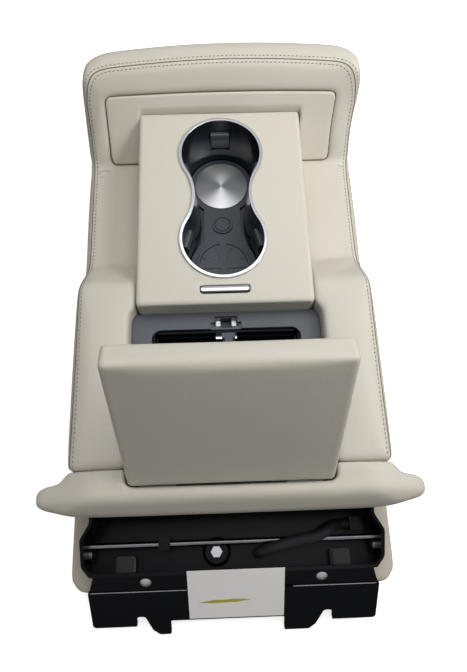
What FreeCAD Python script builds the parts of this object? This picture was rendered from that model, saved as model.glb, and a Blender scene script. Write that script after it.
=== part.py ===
import FreeCAD, Part
import math
import os

# Rear seat armrest: a leather body with a cup block, a lidded store and a moulded carrier.
# Millimetres. X runs across, Z is up from the underside, and Y runs from the rear edge of
# the flange (Y = 0) to the nose. Everything is moved along Y on export, so that the origin
# lies under the middle of the whole part. The lid stands open.

# Gaps shared by the fits
SEAM_GAP = 0.2        # between two covered pieces that press together
FIT_GAP = 0.6         # round a piece that drops into a soft well
SLIDE_GAP = 0.4       # round a piece that slides
RUN_GAP = 0.06        # radial, round a pin that turns
CUT_OVER = 1.0        # how far a cutting shape runs past what it cuts
EDGE_TOL = 0.1        # how near a plane an edge counts as lying on it

# Body heights
UNDERSIDE_T = 30.0
BOLSTER_Z = 146.0
CHANNEL_DROP = 45.0   # from the bolsters to the channels beside the block
SHOULDER_RISE = 24.0  # from the channels to where the sides start to stand up
NOSE_RISE = 96.0      # from the channels to the top of the nose
CHANNEL_Z = BOLSTER_Z - CHANNEL_DROP
SHOULDER_Z = CHANNEL_Z + SHOULDER_RISE
NOSE_Z = CHANNEL_Z + NOSE_RISE

# Body widths
CROWN_HALF = 151.5    # half width of the body at the top of the nose
SHOULDER_OUT = 2.0
FOOT_OUT = 10.5
UNDERSIDE_OUT = 9.0
SHOULDER_HALF = CROWN_HALF + SHOULDER_OUT
FOOT_HALF = CROWN_HALF + FOOT_OUT
UNDERSIDE_HALF = FOOT_HALF + UNDERSIDE_OUT

# Cup block
BLOCK_HALF = 91.0
BLOCK_Y = 204.5
BLOCK_LENGTH = 236.5
BLOCK_RISE = 4.0      # above the bolsters
BLOCK_HEIGHT = 50.0
BLOCK_WALL = 4.0
BLOCK_EDGE_R = 4.0
BLOCK_TOP_R = 3.5
BODY_WALL = 3.0       # wall of the box that stands under the block
BODY_INSET = 1.0
BLOCK_FAR_Y = BLOCK_Y + BLOCK_LENGTH
BLOCK_TOP_Z = BOLSTER_Z + BLOCK_RISE
BLOCK_FOOT_Z = BLOCK_TOP_Z - BLOCK_HEIGHT

# Body lengths, tied to the block
NOSE_DEPTH = 68.0     # from the block's far face to the front of the nose
NOSE_DRAFT = 5.0      # how far the nose's front face leans in at its foot
NOSE_FOOT_BACK = 36.0
NOSE_SLOPE_DEG = 55.7
NOSE_CREST_R = 14.0
NOSE_FRONT_R = 25.0
NOSE_CORNER_R = 26.0
NOSE_FOOT_R = 14.0
RAMP_BACK = 27.5      # from the block's near face to the top of the ramp
RAMP_RUN = 42.0
RAMP_R = 28.0
BODY_EDGE_R = 9.0
EDGE_BAND = 2.0       # how near the side an upper edge of the body lies
UNDERSIDE_EDGE_R = 12.0
UNDERSIDE_CORNER_R = 18.0
NOSE_SLOPE = math.radians(NOSE_SLOPE_DEG)
NOSE_FRONT_Y = BLOCK_FAR_Y + NOSE_DEPTH
NOSE_FOOT_Y = BLOCK_FAR_Y - NOSE_FOOT_BACK
NOSE_CREST_Y = NOSE_FOOT_Y + NOSE_RISE / math.tan(NOSE_SLOPE)
RAMP_TOP_Y = BLOCK_Y + RAMP_BACK
RAMP_FOOT_Y = RAMP_TOP_Y + RAMP_RUN

# Rear flange
FLANGE_DEPTH = 43.0
FLANGE_RISE = 1.0     # above the bolsters
FLANGE_HEIGHT = 43.0
FLANGE_ROLL_R = 18.0
FLANGE_FOOT_R = 6.0
FLANGE_SEAM_R = 4.0
WING_ROOT_OUT = 1.5
WING_REACH = 31.0
WING_FRONT_BACK = 14.0
WING_REAR_Y = 9.0
WING_TOP_DROP = 17.0
WING_FOOT_RISE = 8.0
WING_ROOT_R = 40.0
WING_REAR_R = 9.0
WING_FRONT_R = 8.0
WING_TIP_R = 7.0
WING_UNDER_R = 20.0
WING_SHOULDER_IN = 20.0
WING_SHOULDER_R = 30.0
WING_BLEND_OUT = 6.0
WING_BLEND_RUN = 5.0
SEAM_Y = FLANGE_DEPTH
FLANGE_TOP_Z = BOLSTER_Z + FLANGE_RISE
FLANGE_FOOT_Z = FLANGE_TOP_Z - FLANGE_HEIGHT
WING_ROOT_HALF = CROWN_HALF + WING_ROOT_OUT
WING_HALF = WING_ROOT_HALF + WING_REACH
WING_FRONT_Y = FLANGE_DEPTH - WING_FRONT_BACK
WING_TOP_Z = FLANGE_TOP_Z - WING_TOP_DROP
WING_FOOT_Z = FLANGE_FOOT_Z + WING_FOOT_RISE

# Nose panel
PANEL_IN = 23.5       # from the side of the nose
PANEL_START = 3.0     # along the slope, from its foot
PANEL_LENGTH = 79.0
PANEL_T = 8.0
PANEL_PROUD = 1.5
PANEL_CORNER_R = 5.0
PANEL_HALF = CROWN_HALF - PANEL_IN

# Well, pan and store
WELL_OUT = 7.0        # well's side beyond the block's
PAN_T = 3.0
PAN_RIM_DROP = 4.5
PAN_FRONT_GAP = 5.0
FRAME_DROP = 20.0     # frame's top under the bolsters
FRAME_T = 4.0
FRAME_REAR_BACK = 9.2
FRAME_BLOCK_GAP = 0.5
OPENING_IN = 21.0     # from the well's side
OPENING_BACK = 18.5   # from the block's near face
OPENING_LENGTH = 124.0
OPENING_R = 10.0
BIN_FLOOR_RISE = 15.0
BIN_WALL = 2.5
BIN_LEDGE_DROP = 25.5
BIN_STEP = 6.0
BIN_LIP = 5.0
TRAY_HEIGHT = 13.5
TRAY_WALL = 2.0
PULL_HALF = 11.0
PULL_DEPTH = 4.0
PULL_T = 1.2
WELL_HALF = BLOCK_HALF + WELL_OUT
PAN_HALF = WELL_HALF - FIT_GAP
PAN_RIM_Z = BLOCK_FOOT_Z - PAN_RIM_DROP
PAN_FAR_Y = BLOCK_FAR_Y + PAN_FRONT_GAP
PAN_FLOOR_Z = UNDERSIDE_T + PAN_T
FRAME_Z = BOLSTER_Z - FRAME_DROP
FRAME_FOOT_Z = FRAME_Z - FRAME_T
FRAME_FRONT_Y = BLOCK_Y - FRAME_BLOCK_GAP
OPENING_HALF = WELL_HALF - OPENING_IN
OPENING_FRONT_Y = BLOCK_Y - OPENING_BACK
OPENING_REAR_Y = OPENING_FRONT_Y - OPENING_LENGTH
BIN_FLOOR_Z = UNDERSIDE_T + BIN_FLOOR_RISE
BIN_LEDGE_Z = FRAME_Z - BIN_LEDGE_DROP

# Latch
NOTCH_HALF = 16.0
NOTCH_DEPTH = 7.0
NECK_NOTCH_HALF = 12.0
NECK_NOTCH_DEPTH = 6.5
STRIKER_HALF = 5.0
STRIKER_NECK_HALF = 3.0
STRIKER_DEPTH = 6.0
STRIKER_LENGTH = 14.0
STRIKER_NECK_DROP = 8.0
STRIKER_NECK_HEIGHT = 4.0
JAW_TRAVEL = 2.6
JAW_LENGTH = 4.5
JAW_DEPTH = 5.4
HOUSING_HALF = 20.0
HOUSING_DROP = 20.0
HOUSING_WALL = 1.4
HOUSING_FRONT_WALL = 0.7
POCKET_FLOOR_T = 4.0
NOTCH_SHOULDER_Y = OPENING_FRONT_Y + NOTCH_DEPTH
NECK_NOTCH_Y = NOTCH_SHOULDER_Y + NECK_NOTCH_DEPTH
STRIKER_Y = NOTCH_SHOULDER_Y
STRIKER_NECK_Z = FRAME_Z - STRIKER_NECK_DROP
HOUSING_FOOT_Z = FRAME_Z - HOUSING_DROP
POCKET_FOOT_Z = HOUSING_FOOT_Z + POCKET_FLOOR_T

# Lid
LID_SIDE_GAP = 1.0
LID_FRONT_GAP = 1.5
LID_GAP = 1.0         # over the frame
LID_RISE = 3.0        # above the bolsters
LID_REAR_BACK = 5.0   # lid's rear edge behind its pivot
LID_PANEL_T = 4.0
LID_WRAP = 6.0        # cover turned in round the inner panel
LID_PANEL_BEVEL = 2.4
LID_EDGE_R = 4.0
LID_CORNER_R = 4.5
LID_PANEL_R = 3.0
LID_REAR_R = 3.0
LID_OPEN_DEG = 66.0
PIVOT_Y = 36.0
PIVOT_DROP = 8.0      # under the lid's top
NOTCH_GAP = 1.0       # between the flange and the lid's rear edge as it swings
LID_HALF = WELL_HALF - LID_SIDE_GAP
LID_REAR_Y = PIVOT_Y - LID_REAR_BACK
LID_FRONT_Y = BLOCK_Y - LID_FRONT_GAP
LID_Z = FRAME_Z + LID_GAP
LID_TOP_Z = BOLSTER_Z + LID_RISE
PIVOT_Z = LID_TOP_Z - PIVOT_DROP
LID_SWING_R = math.hypot(PIVOT_Y - LID_REAR_Y, LID_TOP_Z - PIVOT_Z)
FLANGE_NOTCH_Y = PIVOT_Y - LID_SWING_R - NOTCH_GAP
FRAME_REAR_Y = PIVOT_Y - FRAME_REAR_BACK

# Lid hinges
HINGE_IN = 27.0       # from the lid's side
KNUCKLE_R = 4.5
KNUCKLE_HALF = 5.0
EAR_T = 3.0
EAR_TOP_R = 4.4
EAR_LEAN = 1.0
PIN_R = 2.0
ARM_T = 3.0
ARM_REACH = 26.0
ARM_HEEL = 1.0
ARM_BEND_R = 4.0
BRACKET_T = 2.4
BRACKET_HALF = 17.0
BRACKET_REACH = 4.4
HINGE_SCREW_R = 2.6
HINGE_SCREW_HEIGHT = 1.4
HINGE_SCREW_EDGE = 1.0
HINGE_COVER_T = 2.8   # cover left over the hinge pocket
HINGE_X = LID_HALF - HINGE_IN
ARM_FRONT_Y = PIVOT_Y + ARM_REACH
BRACKET_FRONT_Y = PIVOT_Y + BRACKET_REACH

# Cups
CUP_R = 46.4          # outer radius of the bright ring
CUP_FAR_IN = 56.7      # far cup's centre from the block's far face
CUP_NEAR_Y = 73.5     # near cup's centre from the block's near face
NECK_HALF = 32.2
RING_W = 3.4
RING_T = 1.6
RING_EDGE_R = 0.56
LIP_T = 1.0
LIP_COVER = 0.9
LINER_WALL = 1.8
LINER_DEPTH = 69.0
LINER_DRAFT = 4.6
MAT_T = 3.0
MAT_GAP = 0.8
MAT_NECK_HALF = 21.5
PLATE_R = 31.2
PLATE_T = 1.2
BOSS_R = 11.7
BOSS_T = 1.6
FLOOR_RING_R = 31.0
FLOOR_RING_W = 3.0
CROSS_HALF = 3.5
FLOOR_RELIEF_T = 1.0
NEAR_CUP = BLOCK_Y + CUP_NEAR_Y
FAR_CUP = BLOCK_FAR_Y - CUP_FAR_IN
CUP_SPACING = FAR_CUP - NEAR_CUP
CUP_MID = (NEAR_CUP + FAR_CUP) / 2.0
NECK_R = (NECK_HALF**2 + (CUP_SPACING / 2.0)**2 - CUP_R**2) / (2.0 * (CUP_R - NECK_HALF))
LINER_FLOOR_Z = BLOCK_TOP_Z - LINER_DEPTH
MAT_Z = LINER_FLOOR_Z + LINER_WALL
MAT_TOP_Z = MAT_Z + MAT_T

# Can grips
FINGER_SET_BACK = 1.7  # pivot behind the liner's inner face
FINGER_DROP = 42.0     # pivot under the block's top
FINGER_REACH = 25.0
FINGER_HALF = 10.6
FINGER_NOSE = 5.8      # nose of a grip in front of its pivot
FINGER_NOSE_DROP = 7.0
FINGER_NOSE_R = 3.0
FINGER_TIP_BACK = 2.0
FINGER_TIP_R = 2.5
FINGER_BACK = 2.0
FINGER_BACK_R = 1.5
FINGER_FRONT = 2.0
FINGER_HEEL = 1.0
BARREL_R = 2.4
STUB_R = 1.5
STUB_BACK = 0.4        # end of a stub inside its ear
EAR_GAP = 0.9
EAR_T = 2.5
EAR_OUT = 3.5
EAR_ROOT = 0.3         # how deep an ear starts in the wall
EAR_HEIGHT = 4.0
WINDOW_HEIGHT = 28.0
WINDOW_OVER = 6.0
WINDOW_CLEAR = 1.0
FAR_CUP_GRIPS = {"far": 90.0, "far_left": 195.0, "far_right": 345.0}
NEAR_CUP_GRIPS = {"near": 270.0, "near_left": 165.0, "near_right": 15.0}
EAR_HALF_IN = FINGER_HALF + EAR_GAP
EAR_HALF_OUT = EAR_HALF_IN + EAR_T
STUB_HALF = EAR_HALF_OUT - STUB_BACK
FINGER_PIVOT_Z = BLOCK_TOP_Z - FINGER_DROP
LINER_SHARE = (FINGER_DROP + LIP_T) / (LINER_DEPTH + LIP_T - LINER_WALL)
LINER_WALL_R = CUP_R - RING_W - LINER_DRAFT * LINER_SHARE
FINGER_PIVOT_R = LINER_WALL_R + FINGER_SET_BACK
FINGER_IN_R = FINGER_PIVOT_R - FINGER_NOSE

# Release bar
BAR_HALF = 24.6
BAR_DEPTH = 5.4
BAR_Y = 13.1          # near side of the bar from the block's near face
BAR_PROUD = 1.0
BAR_HEIGHT = 9.5
BAR_CROWN_R = 6.0
BAR_END_R = 2.5
BEZEL_RIM = 0.6
BEZEL_DEPTH = 12.0
BEZEL_FLANGE = 3.2
BEZEL_FLANGE_T = 3.0

# Moulded carrier
CARRIER_T = 3.5
CARRIER_OUT = 1.2     # beyond the top of the nose
CARRIER_NECK_IN = 10.0
CARRIER_RIM_IN = 7.7
CARRIER_RIM_Y = -52.0
CARRIER_RIM_RISE = 32.0
CARRIER_FLAT_BACK = 10.0
CARRIER_FLAT_RUN = 26.0
CARRIER_SIDE_DROP = 18.0
CARRIER_NECK_R = 12.0
CARRIER_SIDE_R = 8.0
CARRIER_RIM_R = 4.0
CHEEK_IN = 4.0        # from the rim's corner
UNDERSIDE_BACK = 16.0  # underside's rear edge behind the rim
CARRIER_FRONT_Y = SEAM_Y - SEAM_GAP
CARRIER_FLOOR_Z = UNDERSIDE_T + CARRIER_T
CARRIER_HALF = CROWN_HALF + CARRIER_OUT
CARRIER_NECK_HALF = CROWN_HALF - CARRIER_NECK_IN
CARRIER_RIM_HALF = CARRIER_HALF - CARRIER_RIM_IN
CARRIER_RIM_Z = UNDERSIDE_T + CARRIER_RIM_RISE
CARRIER_SIDE_Z = FLANGE_FOOT_Z - CARRIER_SIDE_DROP
CARRIER_FLAT_REAR_Y = CARRIER_RIM_Y + CARRIER_FLAT_BACK
CARRIER_FLAT_FRONT_Y = CARRIER_FLAT_REAR_Y + CARRIER_FLAT_RUN
UNDERSIDE_REAR_Y = CARRIER_RIM_Y - UNDERSIDE_BACK

# Rear skirt of the carrier, measured down its slope from the rim
SKIRT_SLOPE_DEG = 45.0
SKIRT_OUT = 3.0       # beyond the rim's corner
SKIRT_STEP = 20.5
SKIRT_STEP_T = 2.0
SKIRT_LAP = 3.0
SKIRT_LAP_T = 1.0
SKIRT_CENTRE = 62.0
SKIRT_OUTER = 69.0
SKIRT_TAB = 82.0
SKIRT_NOTCH = 55.0
SKIRT_CORNER_R = 4.0
SLOT_IN = 55.0        # slot's inner side from the skirt's end
SLOT_WIDTH = 9.0
SLOT_R = 1.5
TAB_SLANT = 7.0
TAB_R = 2.0
LEFT_TAB_IN = 62.0
LEFT_TAB_WIDTH = 19.0
RIGHT_TAB_IN = 63.0
RIGHT_TAB_WIDTH = 33.0
SKIRT_SLOPE = math.radians(SKIRT_SLOPE_DEG)
SKIRT_HALF = CARRIER_RIM_HALF + SKIRT_OUT
SLOT_X = SKIRT_HALF - SLOT_IN
SLOT_FAR_X = SLOT_X + SLOT_WIDTH
LEFT_TAB_X = LEFT_TAB_IN - SKIRT_HALF
LEFT_TAB_END_X = LEFT_TAB_X + LEFT_TAB_WIDTH
RIGHT_TAB_END_X = SKIRT_HALF - RIGHT_TAB_IN
RIGHT_TAB_X = RIGHT_TAB_END_X - RIGHT_TAB_WIDTH
SKIRT_TAB_Y = CARRIER_RIM_Y - SKIRT_TAB * math.cos(SKIRT_SLOPE)
SKIRT_REACH_Y = SKIRT_TAB_Y - SKIRT_STEP_T * math.sin(SKIRT_SLOPE)

# Things on the carrier
RIVET_IN = 59.0       # from the skirt's end
RIVET_DOWN = 9.0
RIVET_R = 5.7
RIVET_RISE = 2.2
LABEL_X = 2.0
LABEL_WIDTH = 98.0
LABEL_OVER = 7.0
LABEL_DOWN = 60.0
LABEL_T = 0.4
BUSH_BACK = 22.0      # in front of the rim
BUSH_RISE = 14.0      # over the underside
BUSH_R = 9.0
BUSH_BORE_R = 6.0
BUSH_FLANGE_R = 12.0
BUSH_FLANGE_T = 2.5
BUSH_DEPTH = 8.0
BUSH_GAP = 0.05
ROD_R = 3.0
ROD_AHEAD = 8.0       # in front of the bushes
ROD_RISE = 25.0
CLIP_IN = 76.7
CLIP_WIDTH = 12.0
CLIP_DEPTH = 12.0
CLIP_OVER = 3.0
BOLT_X = -17.0
BOLT_AHEAD = 20.5
SEAT_FOOT_R = 15.0
SEAT_TOP_R = 11.5
SEAT_HEIGHT = 14.0
SEAT_DISH = 2.0
SEAT_RIM = 2.0
BOLT_R = 6.0
BOLT_HEIGHT = 5.5
BOLT_SIDES = 6
PAD_IN = 41.7
PAD_HALF = 9.0
PAD_LENGTH = 15.5
PAD_HEIGHT = 19.0
LOOM_R = 5.5
LOOM_BEND = 0.45      # share of the shorter run that a bend takes up
LOOM_END_GAP = 0.6    # free space at each end of the loom
GROMMET_R = 7.0
GROMMET_HEIGHT = 3.9
CONNECTOR_LENGTH = 14.0
CONNECTOR_WIDTH = 14.0
CONNECTOR_HEIGHT = 14.0
LOOM_RUN = [          # in from the carrier's side, ahead of the bushes, over the tray's floor
    (126.7, -4.0, GROMMET_HEIGHT + LOOM_END_GAP), (126.1, -4.0, 19.5), (108.7, 2.0, 31.0),
    (84.7, 7.5, 31.3), (66.7, 9.5, 31.5), (53.7, 16.5, 27.0),
    (46.7, 21.0, 14.5), (39.7, 22.0, 6.5), (29.7, 22.0, 6.5),
]
RIVET_X = SKIRT_HALF - RIVET_IN
RIVET_BALL_R = (RIVET_R**2 + RIVET_RISE**2) / (2.0 * RIVET_RISE)
BUSH_Y = CARRIER_RIM_Y + BUSH_BACK
BUSH_Z = UNDERSIDE_T + BUSH_RISE
ROD_Y = BUSH_Y + ROD_AHEAD
ROD_Z = UNDERSIDE_T + ROD_RISE
CLIP_X = CLIP_IN - CARRIER_HALF
BOLT_Y = CARRIER_RIM_Y + BOLT_AHEAD
PAD_X = CARRIER_HALF - PAD_IN

# Place of the origin, and a length for cutting right through
ORIGIN_Y = (NOSE_FRONT_Y + SKIRT_REACH_Y) / 2.0
BIG = 1000.0

X_AXIS = FreeCAD.Vector(1, 0, 0)
Y_AXIS = FreeCAD.Vector(0, 1, 0)
Z_AXIS = FreeCAD.Vector(0, 0, 1)


def vec(x, y, z):
    return FreeCAD.Vector(x, y, z)


def box(x_range, y_range, z_range):
    """Block between two limits on each axis."""
    size = (x_range[1] - x_range[0], y_range[1] - y_range[0], z_range[1] - z_range[0])
    return Part.makeBox(*size, vec(x_range[0], y_range[0], z_range[0]))


def wide_box(half, y_range, z_range):
    """Block that is centred across the part."""
    return box((-half, half), y_range, z_range)


def on_plan(u, v):
    return vec(u, v, 0)


def on_side(u, v):
    return vec(0, u, v)


def on_front(u, v):
    return vec(u, 0, v)


def rounded_face(corners, place):
    """Flat face through (u, v, radius) corners, each rounded by its radius."""
    edges = []
    ends = []
    count = len(corners)
    for index, (u, v, radius) in enumerate(corners):
        here = place(u, v)
        back = (place(*corners[index - 1][:2]) - here).normalize()
        ahead = (place(*corners[(index + 1) % count][:2]) - here).normalize()
        if radius <= 0:
            ends.append((here, here))
            continue
        half = back.getAngle(ahead) / 2.0
        inward = (back + ahead).normalize()
        start = here + back * (radius / math.tan(half))
        end = here + ahead * (radius / math.tan(half))
        middle = here + inward * (radius / math.sin(half) - radius)
        ends.append((start, end))
        edges.append((index, Part.Arc(start, middle, end).toShape()))
    arcs = dict(edges)
    path = []
    for index in range(count):
        if index in arcs:
            path.append(arcs[index])
        leave = ends[index][1]
        reach = ends[(index + 1) % count][0]
        if leave.distanceToPoint(reach) > 1e-6:
            path.append(Part.makeLine(leave, reach))
    return Part.Face(Part.Wire(Part.__sortEdges__(path)))


def prism(face, start, end, axis):
    """Face moved to start and extruded to end along an axis."""
    moved = face.translated(axis * start)
    return moved.extrude(axis * (end - start))


def rod(start, axis, radius, length):
    return Part.makeCylinder(radius, length, start, axis)


def mirrored_outline(half_corners):
    """Closed outline from the corners of its right half, in order."""
    left = [(-u, v, radius) for u, v, radius in reversed(half_corners)]
    return half_corners + left


def mirror_x(shape):
    return shape.mirror(vec(0, 0, 0), X_AXIS)


def edges_where(shape, test):
    """Edges whose middle point passes a test."""
    return [edge for edge in shape.Edges if test(edge.CenterOfMass)]


def straight_edges_along(shape, axis, test):
    found = []
    for edge in shape.Edges:
        if not isinstance(edge.Curve, Part.Line):
            continue
        if abs(abs(edge.Curve.Direction.dot(axis)) - 1.0) < 1e-6 and test(edge.CenterOfMass):
            found.append(edge)
    return found


def opened(shape):
    """Lid piece drawn closed, swung to where it stands open."""
    turned = shape.copy()
    turned.rotate(vec(0, PIVOT_Y, PIVOT_Z), X_AXIS, LID_OPEN_DEG)
    return turned


PIECES = {}


def keep(name, shape):
    PIECES[name] = shape


# Leather body and its covers

def body_side_face():
    """Cross section of the body: sides that flare towards the foot."""
    right = Part.Arc(
        vec(FOOT_HALF, 0, UNDERSIDE_T),
        vec(SHOULDER_HALF, 0, SHOULDER_Z),
        vec(CROWN_HALF, 0, NOSE_Z),
    ).toShape()
    left = Part.Arc(
        vec(-CROWN_HALF, 0, NOSE_Z),
        vec(-SHOULDER_HALF, 0, SHOULDER_Z),
        vec(-FOOT_HALF, 0, UNDERSIDE_T),
    ).toShape()
    top = Part.makeLine(vec(CROWN_HALF, 0, NOSE_Z), vec(-CROWN_HALF, 0, NOSE_Z))
    foot = Part.makeLine(vec(-FOOT_HALF, 0, UNDERSIDE_T), vec(FOOT_HALF, 0, UNDERSIDE_T))
    return Part.Face(Part.Wire([right, top, left, foot]))


def block_space():
    """Room for the cup block, its box and the pan in the soft body."""
    rear = SEAM_Y - FIT_GAP
    pan = wide_box(WELL_HALF, (rear, PAN_FAR_Y + FIT_GAP), (UNDERSIDE_T, PAN_RIM_Z + SEAM_GAP))
    store = wide_box(WELL_HALF, (rear, BLOCK_Y), (PAN_RIM_Z, BIG))
    block = wide_box(BLOCK_HALF + FIT_GAP, (BLOCK_Y - CUT_OVER, BLOCK_FAR_Y + FIT_GAP), (PAN_RIM_Z, BIG))
    return pan.fuse([store, block])


def on_slope(face, low, high):
    """Slab on the nose's slope, from a plan face, between two heights off its surface."""
    slab = prism(face, low, high, Z_AXIS)
    slab.rotate(vec(0, 0, 0), X_AXIS, NOSE_SLOPE_DEG)
    slab.translate(vec(0, NOSE_FOOT_Y, CHANNEL_Z))
    return slab


def panel_face(grow):
    half = PANEL_HALF + grow
    start = PANEL_START - grow
    end = PANEL_START + PANEL_LENGTH + grow
    right = [(half, start, PANEL_CORNER_R), (half, end, PANEL_CORNER_R)]
    return rounded_face(mirrored_outline(right), on_plan)


def make_top_cushion():
    profile = [
        (SEAM_Y + SEAM_GAP, UNDERSIDE_T, 0),
        (SEAM_Y + SEAM_GAP, BOLSTER_Z, 0),
        (RAMP_TOP_Y, BOLSTER_Z, RAMP_R),
        (RAMP_FOOT_Y, CHANNEL_Z, RAMP_R),
        (NOSE_FOOT_Y, CHANNEL_Z, NOSE_FOOT_R),
        (NOSE_CREST_Y, NOSE_Z, NOSE_CREST_R),
        (NOSE_FRONT_Y, NOSE_Z, NOSE_FRONT_R),
        (NOSE_FRONT_Y - NOSE_DRAFT, UNDERSIDE_T, 0),
    ]
    body = prism(rounded_face(profile, on_side), -FOOT_HALF, FOOT_HALF, X_AXIS)
    body = body.common(prism(body_side_face(), 0, NOSE_FRONT_Y + CUT_OVER, Y_AXIS))
    rear = SEAM_Y + SEAM_GAP
    top_edges = edges_where(
        body,
        lambda p: min(abs(p.x) - CROWN_HALF, p.z - CHANNEL_Z) > -EDGE_BAND and p.y > rear + EDGE_TOL,
    )
    body = body.makeFillet(BODY_EDGE_R, top_edges)
    plan = mirrored_outline([
        (FOOT_HALF + CUT_OVER, 0, 0),
        (FOOT_HALF + CUT_OVER, NOSE_FRONT_Y + CUT_OVER, NOSE_CORNER_R),
    ])
    body = body.common(prism(rounded_face(plan, on_plan), 0, NOSE_Z + CUT_OVER, Z_AXIS))
    recess = on_slope(panel_face(FIT_GAP), -PANEL_T - SEAM_GAP, BIG)
    keep("top_cushion", body.cut([block_space(), recess]).removeSplitter())


def make_nose_panel():
    panel = on_slope(panel_face(0), -PANEL_T, PANEL_PROUD)
    gap = wide_box(BLOCK_HALF + FIT_GAP, (0, BLOCK_FAR_Y + FIT_GAP), (0, BIG))
    pan = wide_box(WELL_HALF, (0, PAN_FAR_Y + FIT_GAP), (0, PAN_RIM_Z + SEAM_GAP))
    keep("nose_panel", panel.cut([gap, pan]))


def make_underside():
    front = NOSE_FRONT_Y - NOSE_DRAFT
    plan = mirrored_outline([
        (UNDERSIDE_HALF, UNDERSIDE_REAR_Y, UNDERSIDE_CORNER_R),
        (UNDERSIDE_HALF, front, UNDERSIDE_CORNER_R),
    ])
    pad = prism(rounded_face(plan, on_plan), 0, UNDERSIDE_T, Z_AXIS)
    lower_edges = edges_where(pad, lambda p: p.z < EDGE_TOL)
    keep("underside_cushion", pad.makeFillet(UNDERSIDE_EDGE_R, lower_edges))


def make_flange():
    profile = [
        (0, FLANGE_FOOT_Z, FLANGE_FOOT_R),
        (0, FLANGE_TOP_Z, FLANGE_ROLL_R),
        (SEAM_Y, FLANGE_TOP_Z, 0),
        (SEAM_Y, FLANGE_FOOT_Z, 0),
    ]
    roll = prism(rounded_face(profile, on_side), -WING_HALF, WING_HALF, X_AXIS)
    plan = mirrored_outline([
        (WING_ROOT_HALF, 0, WING_ROOT_R),
        (WING_HALF, WING_REAR_Y, WING_REAR_R),
        (WING_HALF, WING_FRONT_Y, WING_FRONT_R),
        (WING_ROOT_HALF + WING_BLEND_OUT, WING_FRONT_Y + WING_BLEND_RUN, WING_FRONT_R),
        (WING_ROOT_HALF, SEAM_Y, FLANGE_SEAM_R),
    ])
    roll = roll.common(prism(rounded_face(plan, on_plan), 0, BIG, Z_AXIS))
    front = mirrored_outline([
        (WING_ROOT_HALF, FLANGE_FOOT_Z, WING_UNDER_R),
        (WING_HALF, WING_FOOT_Z, WING_TIP_R),
        (WING_HALF, WING_TOP_Z, WING_TIP_R),
        (WING_ROOT_HALF - WING_SHOULDER_IN, FLANGE_TOP_Z, WING_SHOULDER_R),
    ])
    roll = roll.common(prism(rounded_face(front, on_front), -CUT_OVER, SEAM_Y + CUT_OVER, Y_AXIS))
    notch = wide_box(WELL_HALF, (FLANGE_NOTCH_Y, BIG), (0, BIG))
    keep("rear_flange", roll.cut(notch).removeSplitter())


# Cup block

def hourglass(inset):
    """Outline of the two cups and their neck, drawn in from the bright ring's outer edge."""
    cup = CUP_R - inset
    neck = NECK_R + inset
    half = CUP_SPACING / 2.0
    neck_x = NECK_HALF + NECK_R
    reach = math.hypot(neck_x, half)
    touch_x = neck_x * cup / reach
    touch_y = half - half * cup / reach
    far = Part.Arc(
        vec(touch_x, CUP_MID + touch_y, 0),
        vec(0, FAR_CUP + cup, 0),
        vec(-touch_x, CUP_MID + touch_y, 0),
    )
    left = Part.Arc(
        vec(-touch_x, CUP_MID + touch_y, 0),
        vec(neck - neck_x, CUP_MID, 0),
        vec(-touch_x, CUP_MID - touch_y, 0),
    )
    near = Part.Arc(
        vec(-touch_x, CUP_MID - touch_y, 0),
        vec(0, NEAR_CUP - cup, 0),
        vec(touch_x, CUP_MID - touch_y, 0),
    )
    right = Part.Arc(
        vec(touch_x, CUP_MID - touch_y, 0),
        vec(neck_x - neck, CUP_MID, 0),
        vec(touch_x, CUP_MID + touch_y, 0),
    )
    return Part.Wire([arc.toShape() for arc in (far, left, near, right)])


def hourglass_slab(inset, low, high):
    return prism(Part.Face(hourglass(inset)), low, high, Z_AXIS)


def hourglass_taper(top_inset, foot_inset, low, high):
    wires = [
        hourglass(foot_inset).translated(vec(0, 0, low)),
        hourglass(top_inset).translated(vec(0, 0, high)),
    ]
    return Part.makeLoft(wires, True, True)


def bar_space(grow, low, high):
    near = BLOCK_Y + BAR_Y
    return wide_box(BAR_HALF + grow, (near - grow, near + BAR_DEPTH + grow), (low, high))


def make_console():
    y_range = (BLOCK_Y, BLOCK_FAR_Y)
    cover = wide_box(BLOCK_HALF, y_range, (BLOCK_FOOT_Z, BLOCK_TOP_Z))
    rounded = straight_edges_along(cover, Z_AXIS, lambda p: True)
    cover = cover.makeFillet(BLOCK_EDGE_R, rounded)
    upper_edges = edges_where(cover, lambda p: p.z > BLOCK_TOP_Z - EDGE_TOL)
    cover = cover.makeFillet(BLOCK_TOP_R, upper_edges)
    inside = wide_box(
        BLOCK_HALF - BLOCK_WALL,
        (BLOCK_Y + BLOCK_WALL, BLOCK_FAR_Y - BLOCK_WALL),
        (0, BLOCK_TOP_Z - BLOCK_WALL),
    )
    cups = hourglass_slab(RING_W - LINER_WALL - SEAM_GAP, 0, BIG)
    bar = bar_space(BEZEL_RIM + SLIDE_GAP + SEAM_GAP, 0, BIG)
    keep("console_cover", cover.cut([inside, cups, bar]))
    under = wide_box(
        BLOCK_HALF - BODY_INSET,
        (BLOCK_Y + BODY_INSET, BLOCK_FAR_Y - BODY_INSET),
        (PAN_FLOOR_Z, BLOCK_FOOT_Z),
    )
    wall = BODY_INSET + BODY_WALL
    hollow = wide_box(
        BLOCK_HALF - wall,
        (BLOCK_Y + wall, BLOCK_FAR_Y - wall),
        (0, BIG),
    )
    keep("console_body", under.cut(hollow))


def grip_frame(angle_deg, centre_y, shape):
    """Moves a shape from (radius, along, height) round to a cup's wall."""
    placed = shape.copy()
    placed.rotate(vec(0, 0, 0), Z_AXIS, angle_deg)
    placed.translate(vec(0, centre_y, 0))
    return placed


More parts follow.
